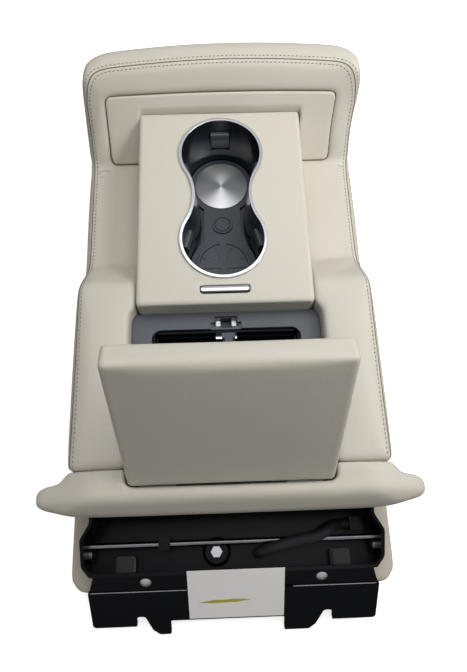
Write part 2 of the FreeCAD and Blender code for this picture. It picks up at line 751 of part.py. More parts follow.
def grip_places():
    places = [(name, angle, FAR_CUP) for name, angle in FAR_CUP_GRIPS.items()]
    places += [(name, angle, NEAR_CUP) for name, angle in NEAR_CUP_GRIPS.items()]
    return places


def make_cups():
    lip_top = BLOCK_TOP_Z + LIP_T
    ring_top = lip_top + RING_T
    ring = hourglass_slab(0, BLOCK_TOP_Z, ring_top)
    ring = ring.cut([
        hourglass_slab(RING_W, 0, BIG),
        hourglass_slab(LIP_COVER, 0, lip_top),
    ])
    top_edges = edges_where(ring, lambda p: p.z > ring_top - EDGE_TOL)
    keep("cup_bezel", ring.makeFillet(RING_EDGE_R, top_edges))

    skin = RING_W - LINER_WALL
    outer = hourglass_taper(skin, skin + LINER_DRAFT, LINER_FLOOR_Z, lip_top)
    lip = hourglass_slab(LIP_COVER + SEAM_GAP, BLOCK_TOP_Z, lip_top)
    inner = hourglass_taper(RING_W, RING_W + LINER_DRAFT, MAT_Z, lip_top)
    above = hourglass_slab(RING_W, lip_top - EDGE_TOL, BIG)
    ears = []
    openings = []
    pivot_out = FINGER_PIVOT_R + EAR_OUT
    window_foot = FINGER_PIVOT_Z - BARREL_R - WINDOW_CLEAR
    for _, angle, centre in grip_places():
        for side in (-1, 1):
            span = sorted((side * EAR_HALF_IN, side * EAR_HALF_OUT))
            ear = box(
                (LINER_WALL_R - EAR_ROOT, pivot_out),
                span,
                (FINGER_PIVOT_Z - EAR_HEIGHT, FINGER_PIVOT_Z + EAR_HEIGHT),
            )
            ears.append(grip_frame(angle, centre, ear))
        window = box(
            (FINGER_IN_R - WINDOW_OVER, pivot_out + WINDOW_OVER),
            (-FINGER_HALF - FIT_GAP, FINGER_HALF + FIT_GAP),
            (window_foot, window_foot + WINDOW_HEIGHT + BARREL_R),
        )
        bore = rod(
            vec(FINGER_PIVOT_R, -STUB_HALF - SLIDE_GAP, FINGER_PIVOT_Z),
            Y_AXIS, STUB_R + RUN_GAP, 2.0 * (STUB_HALF + SLIDE_GAP),
        )
        openings += [grip_frame(angle, centre, window), grip_frame(angle, centre, bore)]
    liner = outer.fuse([lip] + ears).cut([inner, above] + openings)
    keep("cup_liner", liner)

    mat_r = CUP_R - RING_W - LINER_DRAFT - MAT_GAP
    near_disc = rod(vec(0, NEAR_CUP, MAT_Z), Z_AXIS, mat_r, MAT_T)
    far_disc = rod(vec(0, FAR_CUP, MAT_Z), Z_AXIS, mat_r, MAT_T)
    neck = wide_box(MAT_NECK_HALF, (NEAR_CUP, FAR_CUP), (MAT_Z, MAT_TOP_Z))
    boss = rod(vec(0, CUP_MID, MAT_TOP_Z), Z_AXIS, BOSS_R, BOSS_T)
    boss = boss.cut(rod(vec(0, FAR_CUP, MAT_TOP_Z), Z_AXIS, PLATE_R + MAT_GAP, BOSS_T))
    hoop = rod(vec(0, NEAR_CUP, MAT_TOP_Z), Z_AXIS, FLOOR_RING_R, FLOOR_RELIEF_T)
    hoop = hoop.cut(rod(vec(0, NEAR_CUP, MAT_Z), Z_AXIS, FLOOR_RING_R - FLOOR_RING_W, BIG))
    reach = FLOOR_RING_R - FLOOR_RING_W / 2.0
    z_range = (MAT_TOP_Z, MAT_TOP_Z + FLOOR_RELIEF_T)
    bar_across = wide_box(reach, (NEAR_CUP - CROSS_HALF, NEAR_CUP + CROSS_HALF), z_range)
    bar_along = wide_box(CROSS_HALF, (NEAR_CUP - reach, NEAR_CUP + reach), z_range)
    mat = near_disc.fuse([far_disc, neck, boss, hoop, bar_across, bar_along])
    keep("cup_mat", mat.removeSplitter())
    plate = rod(vec(0, FAR_CUP, MAT_TOP_Z), Z_AXIS, PLATE_R, PLATE_T)
    keep("cup_plate", plate)


def make_grips():
    """Sprung grips: a padded flap on two stub axles, hinged at its foot."""
    top = FINGER_PIVOT_Z + FINGER_REACH
    flap = [
        (FINGER_PIVOT_R - FINGER_FRONT, FINGER_PIVOT_Z - FINGER_HEEL, 0),
        (FINGER_PIVOT_R + FINGER_BACK, FINGER_PIVOT_Z - FINGER_HEEL, 0),
        (FINGER_PIVOT_R + FINGER_BACK, top, FINGER_BACK_R),
        (FINGER_IN_R + FINGER_TIP_BACK, top, FINGER_TIP_R),
        (FINGER_IN_R, top - FINGER_NOSE_DROP, FINGER_NOSE_R),
    ]
    plate = prism(rounded_face(flap, on_front), -FINGER_HALF, FINGER_HALF, Y_AXIS)
    barrel = rod(vec(FINGER_PIVOT_R, -FINGER_HALF, FINGER_PIVOT_Z), Y_AXIS, BARREL_R, 2.0 * FINGER_HALF)
    stubs = rod(vec(FINGER_PIVOT_R, -STUB_HALF, FINGER_PIVOT_Z), Y_AXIS, STUB_R, 2.0 * STUB_HALF)
    grip = plate.fuse([barrel, stubs]).removeSplitter()
    for name, angle, centre in grip_places():
        keep("cup_finger_" + name, grip_frame(angle, centre, grip))


def make_release():
    top = BLOCK_TOP_Z + BAR_PROUD
    bar = bar_space(0, top - BAR_HEIGHT, top)
    middle = BLOCK_Y + BAR_Y + BAR_DEPTH / 2.0
    crown = rod(vec(0, middle, top - BAR_CROWN_R), X_AXIS, BAR_CROWN_R, BAR_HALF)
    crown = crown.fuse(mirror_x(crown))
    bar = bar.common(crown)
    ends = straight_edges_along(bar, Z_AXIS, lambda p: abs(p.x) > BAR_HALF - EDGE_TOL)
    keep("release_bar", bar.makeFillet(BAR_END_R, ends))
    foot = BLOCK_TOP_Z - BEZEL_DEPTH
    under = BLOCK_TOP_Z - BLOCK_WALL
    bezel = bar_space(BEZEL_RIM + SLIDE_GAP, foot, BLOCK_TOP_Z)
    flange = bar_space(BEZEL_RIM + SLIDE_GAP + BEZEL_FLANGE, under - BEZEL_FLANGE_T, under)
    keep("release_bezel", bezel.fuse(flange).cut(bar_space(SLIDE_GAP, 0, BIG)))


# Pan, store and latch

def make_pan():
    y_range = (CARRIER_FRONT_Y, PAN_FAR_Y)
    pan = wide_box(PAN_HALF, y_range, (UNDERSIDE_T, PAN_RIM_Z))
    inside = wide_box(PAN_HALF - PAN_T, (y_range[0] + PAN_T, y_range[1] - PAN_T), (PAN_FLOOR_Z, BIG))
    keep("core_pan", pan.cut(inside))


def make_store():
    plate = wide_box(PAN_HALF, (FRAME_REAR_Y, FRAME_FRONT_Y), (FRAME_FOOT_Z, FRAME_Z))
    skirt = wide_box(PAN_HALF, (CARRIER_FRONT_Y, FRAME_FRONT_Y), (PAN_RIM_Z, FRAME_FOOT_Z))
    skirt = skirt.cut(wide_box(PAN_HALF - PAN_T, (0, BIG), (0, BIG)))
    mouth = rounded_face(mirrored_outline([
        (OPENING_HALF, OPENING_REAR_Y, OPENING_R),
        (OPENING_HALF, OPENING_FRONT_Y, OPENING_R),
    ]), on_plan)
    notch = wide_box(NOTCH_HALF, (OPENING_FRONT_Y - OPENING_R, NOTCH_SHOULDER_Y), (0, BIG))
    neck = wide_box(NECK_NOTCH_HALF, (OPENING_FRONT_Y, NECK_NOTCH_Y), (0, BIG))
    keep("storage_frame", plate.fuse(skirt).cut([prism(mouth, 0, BIG, Z_AXIS), notch, neck]))

    half = OPENING_HALF - FIT_GAP
    rear = OPENING_REAR_Y + FIT_GAP
    front = OPENING_FRONT_Y - FIT_GAP
    low = half - BIN_STEP
    upper = wide_box(half, (rear, front), (BIN_LEDGE_Z - BIN_WALL, FRAME_FOOT_Z))
    lower = wide_box(low, (rear + BIN_STEP, front - BIN_STEP), (BIN_FLOOR_Z, BIN_LEDGE_Z))
    lip = wide_box(half + BIN_LIP, (rear - BIN_LIP, front), (FRAME_FOOT_Z - BIN_WALL, FRAME_FOOT_Z))
    wall = BIN_WALL
    upper_in = wide_box(half - wall, (rear + wall, front - wall), (BIN_LEDGE_Z, BIG))
    lower_in = wide_box(
        low - wall,
        (rear + BIN_STEP + wall, front - BIN_STEP - wall),
        (BIN_FLOOR_Z + wall, BIG),
    )
    keep("storage_bin", upper.fuse([lower, lip]).cut([upper_in, lower_in]).removeSplitter())

    tray_half = half - wall - SLIDE_GAP
    tray_y = (rear + wall + SLIDE_GAP, front - wall - SLIDE_GAP)
    tray = wide_box(tray_half, tray_y, (BIN_LEDGE_Z, BIN_LEDGE_Z + TRAY_HEIGHT))
    hollow = wide_box(
        tray_half - TRAY_WALL,
        (tray_y[0] + TRAY_WALL, tray_y[1] - TRAY_WALL),
        (BIN_LEDGE_Z + TRAY_WALL, BIG),
    )
    keep("storage_tray", tray.cut(hollow))
    pull_z = BIN_LEDGE_Z + TRAY_HEIGHT
    pull = wide_box(PULL_HALF, (tray_y[1] - PULL_DEPTH, tray_y[1]), (pull_z, pull_z + PULL_T))
    keep("tray_pull", pull)


def make_latch():
    jaw_y = (STRIKER_Y - JAW_DEPTH / 2.0, STRIKER_Y + JAW_DEPTH / 2.0)
    jaw_z = (STRIKER_NECK_Z + SLIDE_GAP, STRIKER_NECK_Z + STRIKER_NECK_HEIGHT - SLIDE_GAP)
    jaw_in = STRIKER_NECK_HALF + JAW_TRAVEL + SLIDE_GAP
    jaw = box((jaw_in, jaw_in + JAW_LENGTH), jaw_y, jaw_z)
    keep("latch_jaw_right", jaw)
    keep("latch_jaw_left", mirror_x(jaw))
    housing_y = (OPENING_FRONT_Y + SLIDE_GAP, NECK_NOTCH_Y)
    housing = wide_box(HOUSING_HALF, housing_y, (HOUSING_FOOT_Z, FRAME_FOOT_Z))
    pocket = wide_box(
        STRIKER_HALF + FIT_GAP + SLIDE_GAP,
        (housing_y[0] + HOUSING_WALL, housing_y[1] - HOUSING_FRONT_WALL),
        (POCKET_FOOT_Z, BIG),
    )
    groove = wide_box(
        jaw_in + JAW_LENGTH + JAW_TRAVEL,
        (jaw_y[0] - SLIDE_GAP, jaw_y[1] + SLIDE_GAP),
        (STRIKER_NECK_Z + SLIDE_GAP / 2.0, BIG),
    )
    keep("latch_housing", housing.cut([pocket, groove]))


# Lid and its hinges, drawn closed

def hinge_pocket(grow, low, high, front):
    half = KNUCKLE_HALF + EAR_T + FIT_GAP + grow
    room = box((HINGE_X - half, HINGE_X + half), (LID_REAR_Y - CUT_OVER, front), (low, high))
    return [room, mirror_x(room)]


def lid_panel_face(grow, rear):
    """Plan of the lid's inner panel, grown all round and run back to a rear edge."""
    half = LID_HALF - LID_WRAP + grow
    return rounded_face(mirrored_outline([
        (half, rear, 0),
        (half, LID_FRONT_Y - LID_WRAP + grow, LID_PANEL_R),
    ]), on_plan)


def make_lid():
    panel_top = LID_Z + LID_PANEL_T
    plan = mirrored_outline([
        (LID_HALF, LID_REAR_Y, LID_REAR_R),
        (LID_HALF, LID_FRONT_Y, LID_CORNER_R),
    ])
    cushion = prism(rounded_face(plan, on_plan), LID_Z, LID_TOP_Z, Z_AXIS)
    upper_edges = edges_where(cushion, lambda p: p.z > LID_TOP_Z - EDGE_TOL)
    cushion = cushion.makeFillet(LID_EDGE_R, upper_edges)
    recess = prism(lid_panel_face(SEAM_GAP, LID_REAR_Y - CUT_OVER), 0, panel_top, Z_AXIS)
    cover_z = LID_TOP_Z - HINGE_COVER_T
    pockets = hinge_pocket(0, 0, cover_z, ARM_FRONT_Y + FIT_GAP)
    heel = wide_box(BIG, (0, BRACKET_FRONT_Y), (0, panel_top))
    keep("lid_cushion", opened(cushion.cut([recess, heel] + pockets)))

    panel = prism(lid_panel_face(0, LID_REAR_Y + LID_GAP), LID_Z, panel_top, Z_AXIS)
    slot_front = BRACKET_FRONT_Y + FIT_GAP
    slots = hinge_pocket(BRACKET_HALF - KNUCKLE_HALF - EAR_T, 0, BIG, slot_front)
    panel = panel.cut(slots)
    lower_edge = straight_edges_along(
        panel, X_AXIS, lambda p: p.z < LID_Z + EDGE_TOL and p.y < slot_front - EDGE_TOL)
    keep("lid_inner_panel", opened(panel.makeChamfer(LID_PANEL_BEVEL, lower_edge)))

    half_depth = STRIKER_DEPTH / 2.0
    blade = wide_box(
        STRIKER_HALF,
        (STRIKER_Y - half_depth, STRIKER_Y + half_depth),
        (LID_Z - STRIKER_LENGTH, LID_Z),
    )
    cheek = box(
        (STRIKER_NECK_HALF, BIG),
        (0, BIG),
        (STRIKER_NECK_Z, STRIKER_NECK_Z + STRIKER_NECK_HEIGHT),
    )
    keep("lid_striker", opened(blade.cut([cheek, mirror_x(cheek)])))


def make_hinges():
    panel_top = LID_Z + LID_PANEL_T
    knuckle = rod(
        vec(HINGE_X - KNUCKLE_HALF, PIVOT_Y, PIVOT_Z), X_AXIS, KNUCKLE_R, 2.0 * KNUCKLE_HALF)
    web = [
        (PIVOT_Y, PIVOT_Z - KNUCKLE_R, 0),
        (PIVOT_Y + KNUCKLE_R + ARM_HEEL, panel_top, 0),
        (ARM_FRONT_Y, panel_top, 0),
        (ARM_FRONT_Y, panel_top + ARM_T, 0),
        (PIVOT_Y + 3.0 * KNUCKLE_R, panel_top + ARM_T, ARM_BEND_R),
        (PIVOT_Y, PIVOT_Z + KNUCKLE_R, 0),
    ]
    web = prism(rounded_face(web, on_side), HINGE_X - KNUCKLE_HALF, HINGE_X + KNUCKLE_HALF, X_AXIS)
    bore = rod(vec(0, PIVOT_Y, PIVOT_Z), X_AXIS, PIN_R + RUN_GAP, BIG)
    arm = opened(knuckle.fuse(web).cut(bore).removeSplitter())

    ear_in = KNUCKLE_HALF + SLIDE_GAP
    ear_face = [
        (PIVOT_Y - KNUCKLE_R, FRAME_Z, 0),
        (PIVOT_Y - KNUCKLE_R, PIVOT_Z + KNUCKLE_R, EAR_TOP_R),
        (PIVOT_Y + KNUCKLE_R, PIVOT_Z + KNUCKLE_R, EAR_TOP_R),
        (PIVOT_Y + KNUCKLE_R, PIVOT_Z - KNUCKLE_R, 0),
        (PIVOT_Y + EAR_LEAN, FRAME_Z, 0),
    ]
    ear_face = rounded_face(ear_face, on_side)
    base = box(
        (HINGE_X - BRACKET_HALF, HINGE_X + BRACKET_HALF),
        (FRAME_REAR_Y, BRACKET_FRONT_Y),
        (FRAME_Z, FRAME_Z + BRACKET_T),
    )
    ears = [
        prism(ear_face, HINGE_X + side * ear_in, HINGE_X + side * (ear_in + EAR_T), X_AXIS)
        for side in (-1, 1)
    ]
    eye = rod(vec(0, PIVOT_Y, PIVOT_Z), X_AXIS, PIN_R, BIG)
    bracket = base.fuse(ears).cut(eye).removeSplitter()
    reach = ear_in + EAR_T
    pin = rod(vec(HINGE_X - reach, PIVOT_Y, PIVOT_Z), X_AXIS, PIN_R, 2.0 * reach)
    screw_y = (FRAME_REAR_Y + BRACKET_FRONT_Y) / 2.0
    screws = []
    for side in (-1, 1):
        screw_x = HINGE_X + side * (BRACKET_HALF - HINGE_SCREW_R - HINGE_SCREW_EDGE)
        seat = vec(screw_x, screw_y, FRAME_Z + BRACKET_T)
        head = rod(seat, Z_AXIS, HINGE_SCREW_R, HINGE_SCREW_HEIGHT)
        screws += [head, mirror_x(head)]
    for side, turn in (("right", lambda s: s), ("left", mirror_x)):
        keep("lid_hinge_arm_" + side, turn(arm))
        keep("lid_hinge_bracket_" + side, turn(bracket))
        keep("lid_hinge_pin_" + side, turn(pin))
    keep("hinge_screws", Part.makeCompound(screws))


# Moulded carrier and what it holds

def carrier_outline(inset, front, rear):
    return rounded_face(mirrored_outline([
        (CARRIER_NECK_HALF - inset, front, 0),
        (CARRIER_NECK_HALF - inset, 0, CARRIER_NECK_R),
        (CARRIER_HALF - inset, CARRIER_FLAT_FRONT_Y, CARRIER_SIDE_R),
        (CARRIER_HALF - inset, CARRIER_FLAT_REAR_Y, CARRIER_SIDE_R),
        (CARRIER_RIM_HALF - inset, rear, CARRIER_RIM_R),
    ]), on_plan)


def on_skirt(face, low, high):
    """Slab on the slanted rear wall: u across, v down the slope, between two heights off it."""
    slab = prism(face, low, high, Z_AXIS)
    slab.rotate(vec(0, 0, 0), X_AXIS, SKIRT_SLOPE_DEG)
    slab.translate(vec(0, CARRIER_RIM_Y, CARRIER_RIM_Z))
    return slab


def skirt_face(top):
    """Rear wall's outline, with v negative down the slope, from its top to the notched edge."""
    return rounded_face([
        (-SKIRT_HALF, -top, 0),
        (-SKIRT_HALF, -SKIRT_OUTER, SKIRT_CORNER_R),
        (-SLOT_FAR_X, -SKIRT_OUTER, SLOT_R),
        (-SLOT_FAR_X, -SKIRT_NOTCH, SKIRT_CORNER_R),
        (-SLOT_X, -SKIRT_NOTCH, SKIRT_CORNER_R),
        (LEFT_TAB_X, -SKIRT_TAB + TAB_SLANT, TAB_R),
        (LEFT_TAB_X + TAB_SLANT, -SKIRT_TAB, TAB_R),
        (LEFT_TAB_END_X, -SKIRT_TAB, TAB_R),
        (LEFT_TAB_END_X, -SKIRT_CENTRE, TAB_R),
        (RIGHT_TAB_X, -SKIRT_CENTRE, TAB_R),
        (RIGHT_TAB_X, -SKIRT_TAB, TAB_R),
        (RIGHT_TAB_END_X - TAB_SLANT, -SKIRT_TAB, TAB_R),
        (RIGHT_TAB_END_X, -SKIRT_TAB + TAB_SLANT, TAB_R),
        (SLOT_X, -SKIRT_NOTCH, SKIRT_CORNER_R),
        (SLOT_FAR_X, -SKIRT_NOTCH, SKIRT_CORNER_R),
        (SLOT_FAR_X, -SKIRT_OUTER, SLOT_R),
        (SKIRT_HALF, -SKIRT_OUTER, SKIRT_CORNER_R),
        (SKIRT_HALF, -top, 0),
    ], on_plan)


def make_carrier():
    outside = carrier_outline(0, CARRIER_FRONT_Y, CARRIER_RIM_Y)
    tub = prism(outside, UNDERSIDE_T, FLANGE_FOOT_Z, Z_AXIS)
    hollow = carrier_outline(CARRIER_T, CARRIER_FRONT_Y - CARRIER_T, CARRIER_RIM_Y + CARRIER_T)
    tub = tub.cut(prism(hollow, CARRIER_FLOOR_Z, BIG, Z_AXIS))
    over = Part.Face(Part.makePolygon([
        vec(0, CARRIER_RIM_Y - CUT_OVER, CARRIER_RIM_Z),
        vec(0, CARRIER_RIM_Y + CARRIER_T, CARRIER_RIM_Z),
        vec(0, 0, CARRIER_SIDE_Z),
        vec(0, SEAM_Y / 2.0, FLANGE_FOOT_Z),
        vec(0, SEAM_Y / 2.0, BIG),
        vec(0, CARRIER_RIM_Y - CUT_OVER, BIG),
        vec(0, CARRIER_RIM_Y - CUT_OVER, CARRIER_RIM_Z),
    ]))
    tub = tub.cut(prism(over, -BIG, BIG, X_AXIS))
    eye = rod(vec(-BIG, BUSH_Y, BUSH_Z), X_AXIS, BUSH_R + BUSH_GAP, 2.0 * BIG)
    keep("base_carrier", tub.cut(eye).removeSplitter())

    cheek_out = CARRIER_RIM_HALF - CHEEK_IN
    strip = rounded_face([
        (-cheek_out, 0, 0),
        (-SKIRT_HALF, -SKIRT_STEP - SKIRT_LAP, 0),
        (SKIRT_HALF, -SKIRT_STEP - SKIRT_LAP, 0),
        (cheek_out, 0, 0),
    ], on_plan)
    upper = on_skirt(strip, -CARRIER_T, 0)
    lower = on_skirt(skirt_face(SKIRT_STEP), SKIRT_STEP_T - CARRIER_T - SKIRT_LAP_T, SKIRT_STEP_T)
    reach = (CARRIER_RIM_Z - UNDERSIDE_T) / math.tan(SKIRT_SLOPE)
    cheek = Part.Face(Part.makePolygon([
        vec(0, CARRIER_RIM_Y, CARRIER_RIM_Z),
        vec(0, CARRIER_RIM_Y, UNDERSIDE_T),
        vec(0, CARRIER_RIM_Y - reach, UNDERSIDE_T),
        vec(0, CARRIER_RIM_Y, CARRIER_RIM_Z),
    ]))
    cheek = prism(cheek, cheek_out - CARRIER_T, cheek_out, X_AXIS)
    skirt = upper.fuse([lower, cheek, mirror_x(cheek)])
    keep("rear_skirt", skirt.cut(tub).removeSplitter())

    bush = rod(vec(CARRIER_HALF - BUSH_DEPTH, BUSH_Y, BUSH_Z), X_AXIS, BUSH_R, BUSH_DEPTH)
    flange = rod(vec(CARRIER_HALF, BUSH_Y, BUSH_Z), X_AXIS, BUSH_FLANGE_R, BUSH_FLANGE_T)
    bush = bush.fuse(flange).cut(rod(vec(0, BUSH_Y, BUSH_Z), X_AXIS, BUSH_BORE_R, BIG))
    keep("pivot_bush_right", bush)
    keep("pivot_bush_left", mirror_x(bush))

    rivet = Part.makeSphere(RIVET_BALL_R)
    rivet.translate(vec(RIVET_X, -RIVET_DOWN, RIVET_RISE - RIVET_BALL_R))
    rivet = rivet.common(rod(vec(RIVET_X, -RIVET_DOWN, 0), Z_AXIS, RIVET_R, 2.0 * RIVET_RISE))
    rivet.rotate(vec(0, 0, 0), X_AXIS, SKIRT_SLOPE_DEG)
    rivet.translate(vec(0, CARRIER_RIM_Y, CARRIER_RIM_Z))
    keep("carrier_rivets", Part.makeCompound([rivet, mirror_x(rivet)]))

    paper = rounded_face([
        (LABEL_X - LABEL_WIDTH / 2.0, LABEL_OVER, 0),
        (LABEL_X - LABEL_WIDTH / 2.0, -LABEL_DOWN, 0),
        (LABEL_X + LABEL_WIDTH / 2.0, -LABEL_DOWN, 0),
        (LABEL_X + LABEL_WIDTH / 2.0, LABEL_OVER, 0),
    ], on_plan)
    keep("paper_label", on_skirt(paper, SKIRT_STEP_T, SKIRT_STEP_T + LABEL_T))


def loom_points():
    return [
        vec(CARRIER_HALF - inset, BUSH_Y + ahead, CARRIER_FLOOR_Z + over)
        for inset, ahead, over in LOOM_RUN
    ]


def loom_path():
    """Straight runs joined by tangent arcs, each as large as its two runs allow."""
    points = loom_points()
    edges = []
    leave = points[0]
    for before, here, after in zip(points, points[1:], points[2:]):
        back = before - here
        ahead = after - here
        span = LOOM_BEND * min(back.Length, ahead.Length)
        back.normalize()
        ahead.normalize()
        half = back.getAngle(ahead) / 2.0
        radius = span * math.tan(half)
        inward = (back + ahead).normalize()
        start = here + back * span
        end = here + ahead * span
        middle = here + inward * (radius / math.sin(half) - radius)
        edges.append(Part.makeLine(leave, start))
        edges.append(Part.Arc(start, middle, end).toShape())
        leave = end
    edges.append(Part.makeLine(leave, points[-1]))
    return Part.Wire(edges)


def make_tray_fittings():
    half = CARRIER_HALF - CARRIER_T
    keep("cross_rod", rod(vec(-half, ROD_Y, ROD_Z), X_AXIS, ROD_R, 2.0 * half))
    clip_top = ROD_Z + ROD_R + CLIP_OVER
    clip = box(
        (CLIP_X, CLIP_X + CLIP_WIDTH),
        (ROD_Y - CLIP_DEPTH / 2.0, ROD_Y + CLIP_DEPTH / 2.0),
        (CARRIER_FLOOR_Z, clip_top),
    )
    keep("rod_clip", clip.cut(rod(vec(-BIG, ROD_Y, ROD_Z), X_AXIS, ROD_R + RUN_GAP, 2.0 * BIG)))
    foot = vec(BOLT_X, BOLT_Y, CARRIER_FLOOR_Z)
    seat = Part.makeCone(SEAT_FOOT_R, SEAT_TOP_R, SEAT_HEIGHT, foot, Z_AXIS)
    seat_top = foot + vec(0, 0, SEAT_HEIGHT - SEAT_DISH)
    dish = rod(seat_top, Z_AXIS, SEAT_TOP_R - SEAT_RIM, BIG)
    rod_room = rod(vec(-BIG, ROD_Y, ROD_Z), X_AXIS, ROD_R + SLIDE_GAP, 2.0 * BIG)
    keep("bolt_seat", seat.cut([dish, rod_room]))
    hexagon = []
    for corner in range(BOLT_SIDES + 1):
        turn = 2.0 * math.pi * corner / BOLT_SIDES
        hexagon.append(seat_top + vec(BOLT_R * math.cos(turn), BOLT_R * math.sin(turn), 0))
    head = Part.Face(Part.makePolygon(hexagon)).extrude(vec(0, 0, BOLT_HEIGHT))
    keep("centre_bolt", head)
    pad_rear = CARRIER_RIM_Y + CARRIER_T
    pad = box(
        (PAD_X - PAD_HALF, PAD_X + PAD_HALF),
        (pad_rear, pad_rear + PAD_LENGTH),
        (CARRIER_FLOOR_Z, CARRIER_FLOOR_Z + PAD_HEIGHT),
    )
    keep("felt_pad_left", mirror_x(pad))
    keep("felt_pad_right", pad)

    path = loom_path()
    points = loom_points()
    start = points[0]
    heading = (points[1] - start).normalize()
    ring = Part.Wire(Part.makeCircle(LOOM_R, start, heading))
    keep("wiring_loom", path.makePipeShell([ring], True, False))
    grommet = rod(vec(start.x, start.y, CARRIER_FLOOR_Z), Z_AXIS, GROMMET_R, GROMMET_HEIGHT)
    keep("loom_grommet", grommet)
    end = points[-1]
    plug_x = end.x + LOOM_END_GAP
    connector = box(
        (plug_x, plug_x + CONNECTOR_LENGTH),
        (end.y - CONNECTOR_WIDTH / 2.0, end.y + CONNECTOR_WIDTH / 2.0),
        (CARRIER_FLOOR_Z, CARRIER_FLOOR_Z + CONNECTOR_HEIGHT),
    )
    keep("loom_connector", connector)


def write_parts():
    os.makedirs("parts", exist_ok=True)
    for name, shape in PIECES.items():
        moved = shape.translated(vec(0, -ORIGIN_Y, 0))
        moved.exportStep(os.path.join("parts", name + ".step"))


def main():
    make_top_cushion()
    make_nose_panel()
    make_underside()
    make_flange()
    make_console()
    make_cups()
    make_grips()
    make_release()
    make_pan()
    make_store()
    make_latch()
    make_lid()
    make_hinges()
    make_carrier()
    make_tray_fittings()
    write_parts()


main()
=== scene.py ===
import logging
import math
from dataclasses import dataclass, field
from enum import Enum
from typing import Callable, Optional, Sequence

import bpy
import numpy as np
from mathutils import Matrix, Vector
from mathutils.bvhtree import BVHTree


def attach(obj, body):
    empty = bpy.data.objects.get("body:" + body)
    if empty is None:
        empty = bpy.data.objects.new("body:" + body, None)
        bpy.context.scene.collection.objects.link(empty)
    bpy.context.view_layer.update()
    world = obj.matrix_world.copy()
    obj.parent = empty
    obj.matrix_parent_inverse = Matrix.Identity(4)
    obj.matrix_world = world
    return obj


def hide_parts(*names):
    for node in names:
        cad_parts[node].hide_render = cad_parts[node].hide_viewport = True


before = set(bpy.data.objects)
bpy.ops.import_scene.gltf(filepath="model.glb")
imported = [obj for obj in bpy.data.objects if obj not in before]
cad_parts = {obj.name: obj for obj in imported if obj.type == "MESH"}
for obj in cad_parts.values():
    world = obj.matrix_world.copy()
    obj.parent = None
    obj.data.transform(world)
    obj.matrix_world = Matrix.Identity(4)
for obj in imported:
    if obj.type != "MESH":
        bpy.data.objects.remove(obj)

LOG = logging.getLogger("armrest")
MM = 0.001
ORIGIN_Y = 198.8015
TO_MM = 1000.0
RAY_TOP = 300.0
COVER_SMOOTHING = 0.5
LAST_SMOOTHING = 3
CLOTH_FRAMES = 14
PIN_FLOOR = 0.02
CREASE_DEPTH = 0.004
GRAIN_DEPTH = 0.0006
SHEEN_ROUGHNESS = 0.45
TUBE_STEP = 2.5
TUBE_SIDES = 6
STITCH_STEP = 0.5
STITCH_DIP = 0.8
STITCH_SHAPE = ((-0.5, 0.35), (-0.3, 0.9), (0.0, 1.0), (0.3, 0.9), (0.5, 0.35))
Place = tuple[float, float, float]
Weigh = Callable[[np.ndarray], np.ndarray]


class Slot(str, Enum):
    """Material slots of the record."""

    LEATHER = "leather"
    LEATHER_SHADE = "leather_shade"
    FELT = "felt"


def at(x: float, y: float, z: float) -> Vector:
    """Turns a place in the part's own millimetres into the shared frame.

    Args:
        x: across, to the right.
        y: from the flange's rear edge towards the nose.
        z: up from the underside.

    Returns:
        The place in metres.
    """
    return Vector((x * MM, (y - ORIGIN_Y) * MM, z * MM))


def smooth_step(low: float, high: float, value: np.ndarray) -> np.ndarray:
    """Eases each value from 0 at low to 1 at high."""
    t = np.clip((value - low) / (high - low), 0.0, 1.0)
    return t * t * (3.0 - 2.0 * t)


class Graph:
    """Adds and joins shader nodes in one tree."""

    def __init__(self, tree: bpy.types.NodeTree) -> None:
        """Keeps the node tree to fill."""
        self.tree = tree

    def add(self, kind: str, inputs: Optional[dict] = None, **settings: object) -> bpy.types.Node:
        """Makes a node, sets its properties and its sockets, and links sockets given as values.

        Args:
            kind: the node's type name.
            inputs: socket name or number to a constant or to an output socket.
            settings: properties of the node.

        Returns:
            The new node.
        """
        node = self.tree.nodes.new(kind)
        for name, value in settings.items():
            setattr(node, name, value)
        for name, value in (inputs or {}).items():
            if isinstance(value, bpy.types.NodeSocket):
                self.tree.links.new(value, node.inputs[name])
            else:
                node.inputs[name].default_value = value
        return node

    def math(self, operation: str, first: object, second: object = 0.0) -> bpy.types.NodeSocket:
        """Adds a sum of two numbers or sockets and gives its result."""
        return self.add("ShaderNodeMath", {0: first, 1: second}, operation=operation).outputs[0]

    def effect(self, group: bpy.types.NodeTree, place: bpy.types.NodeSocket) -> bpy.types.NodeSocket:
        """Adds a shared effect's group at the given coordinates and gives its value."""
        return self.add("ShaderNodeGroup", {0: place}, node_tree=group).outputs[0]

    def blend(self, mask: bpy.types.NodeSocket, low: object, high: object) -> bpy.types.NodeSocket:
        """Mixes two colours or sockets, low where the mask is 0 and high where it is 1."""
        mix = self.add("ShaderNodeMix", {0: mask, "A": low, "B": high}, data_type="RGBA")
        return mix.outputs["Result"]


Fill = Callable[[Graph, bpy.types.Node], bpy.types.NodeSocket]


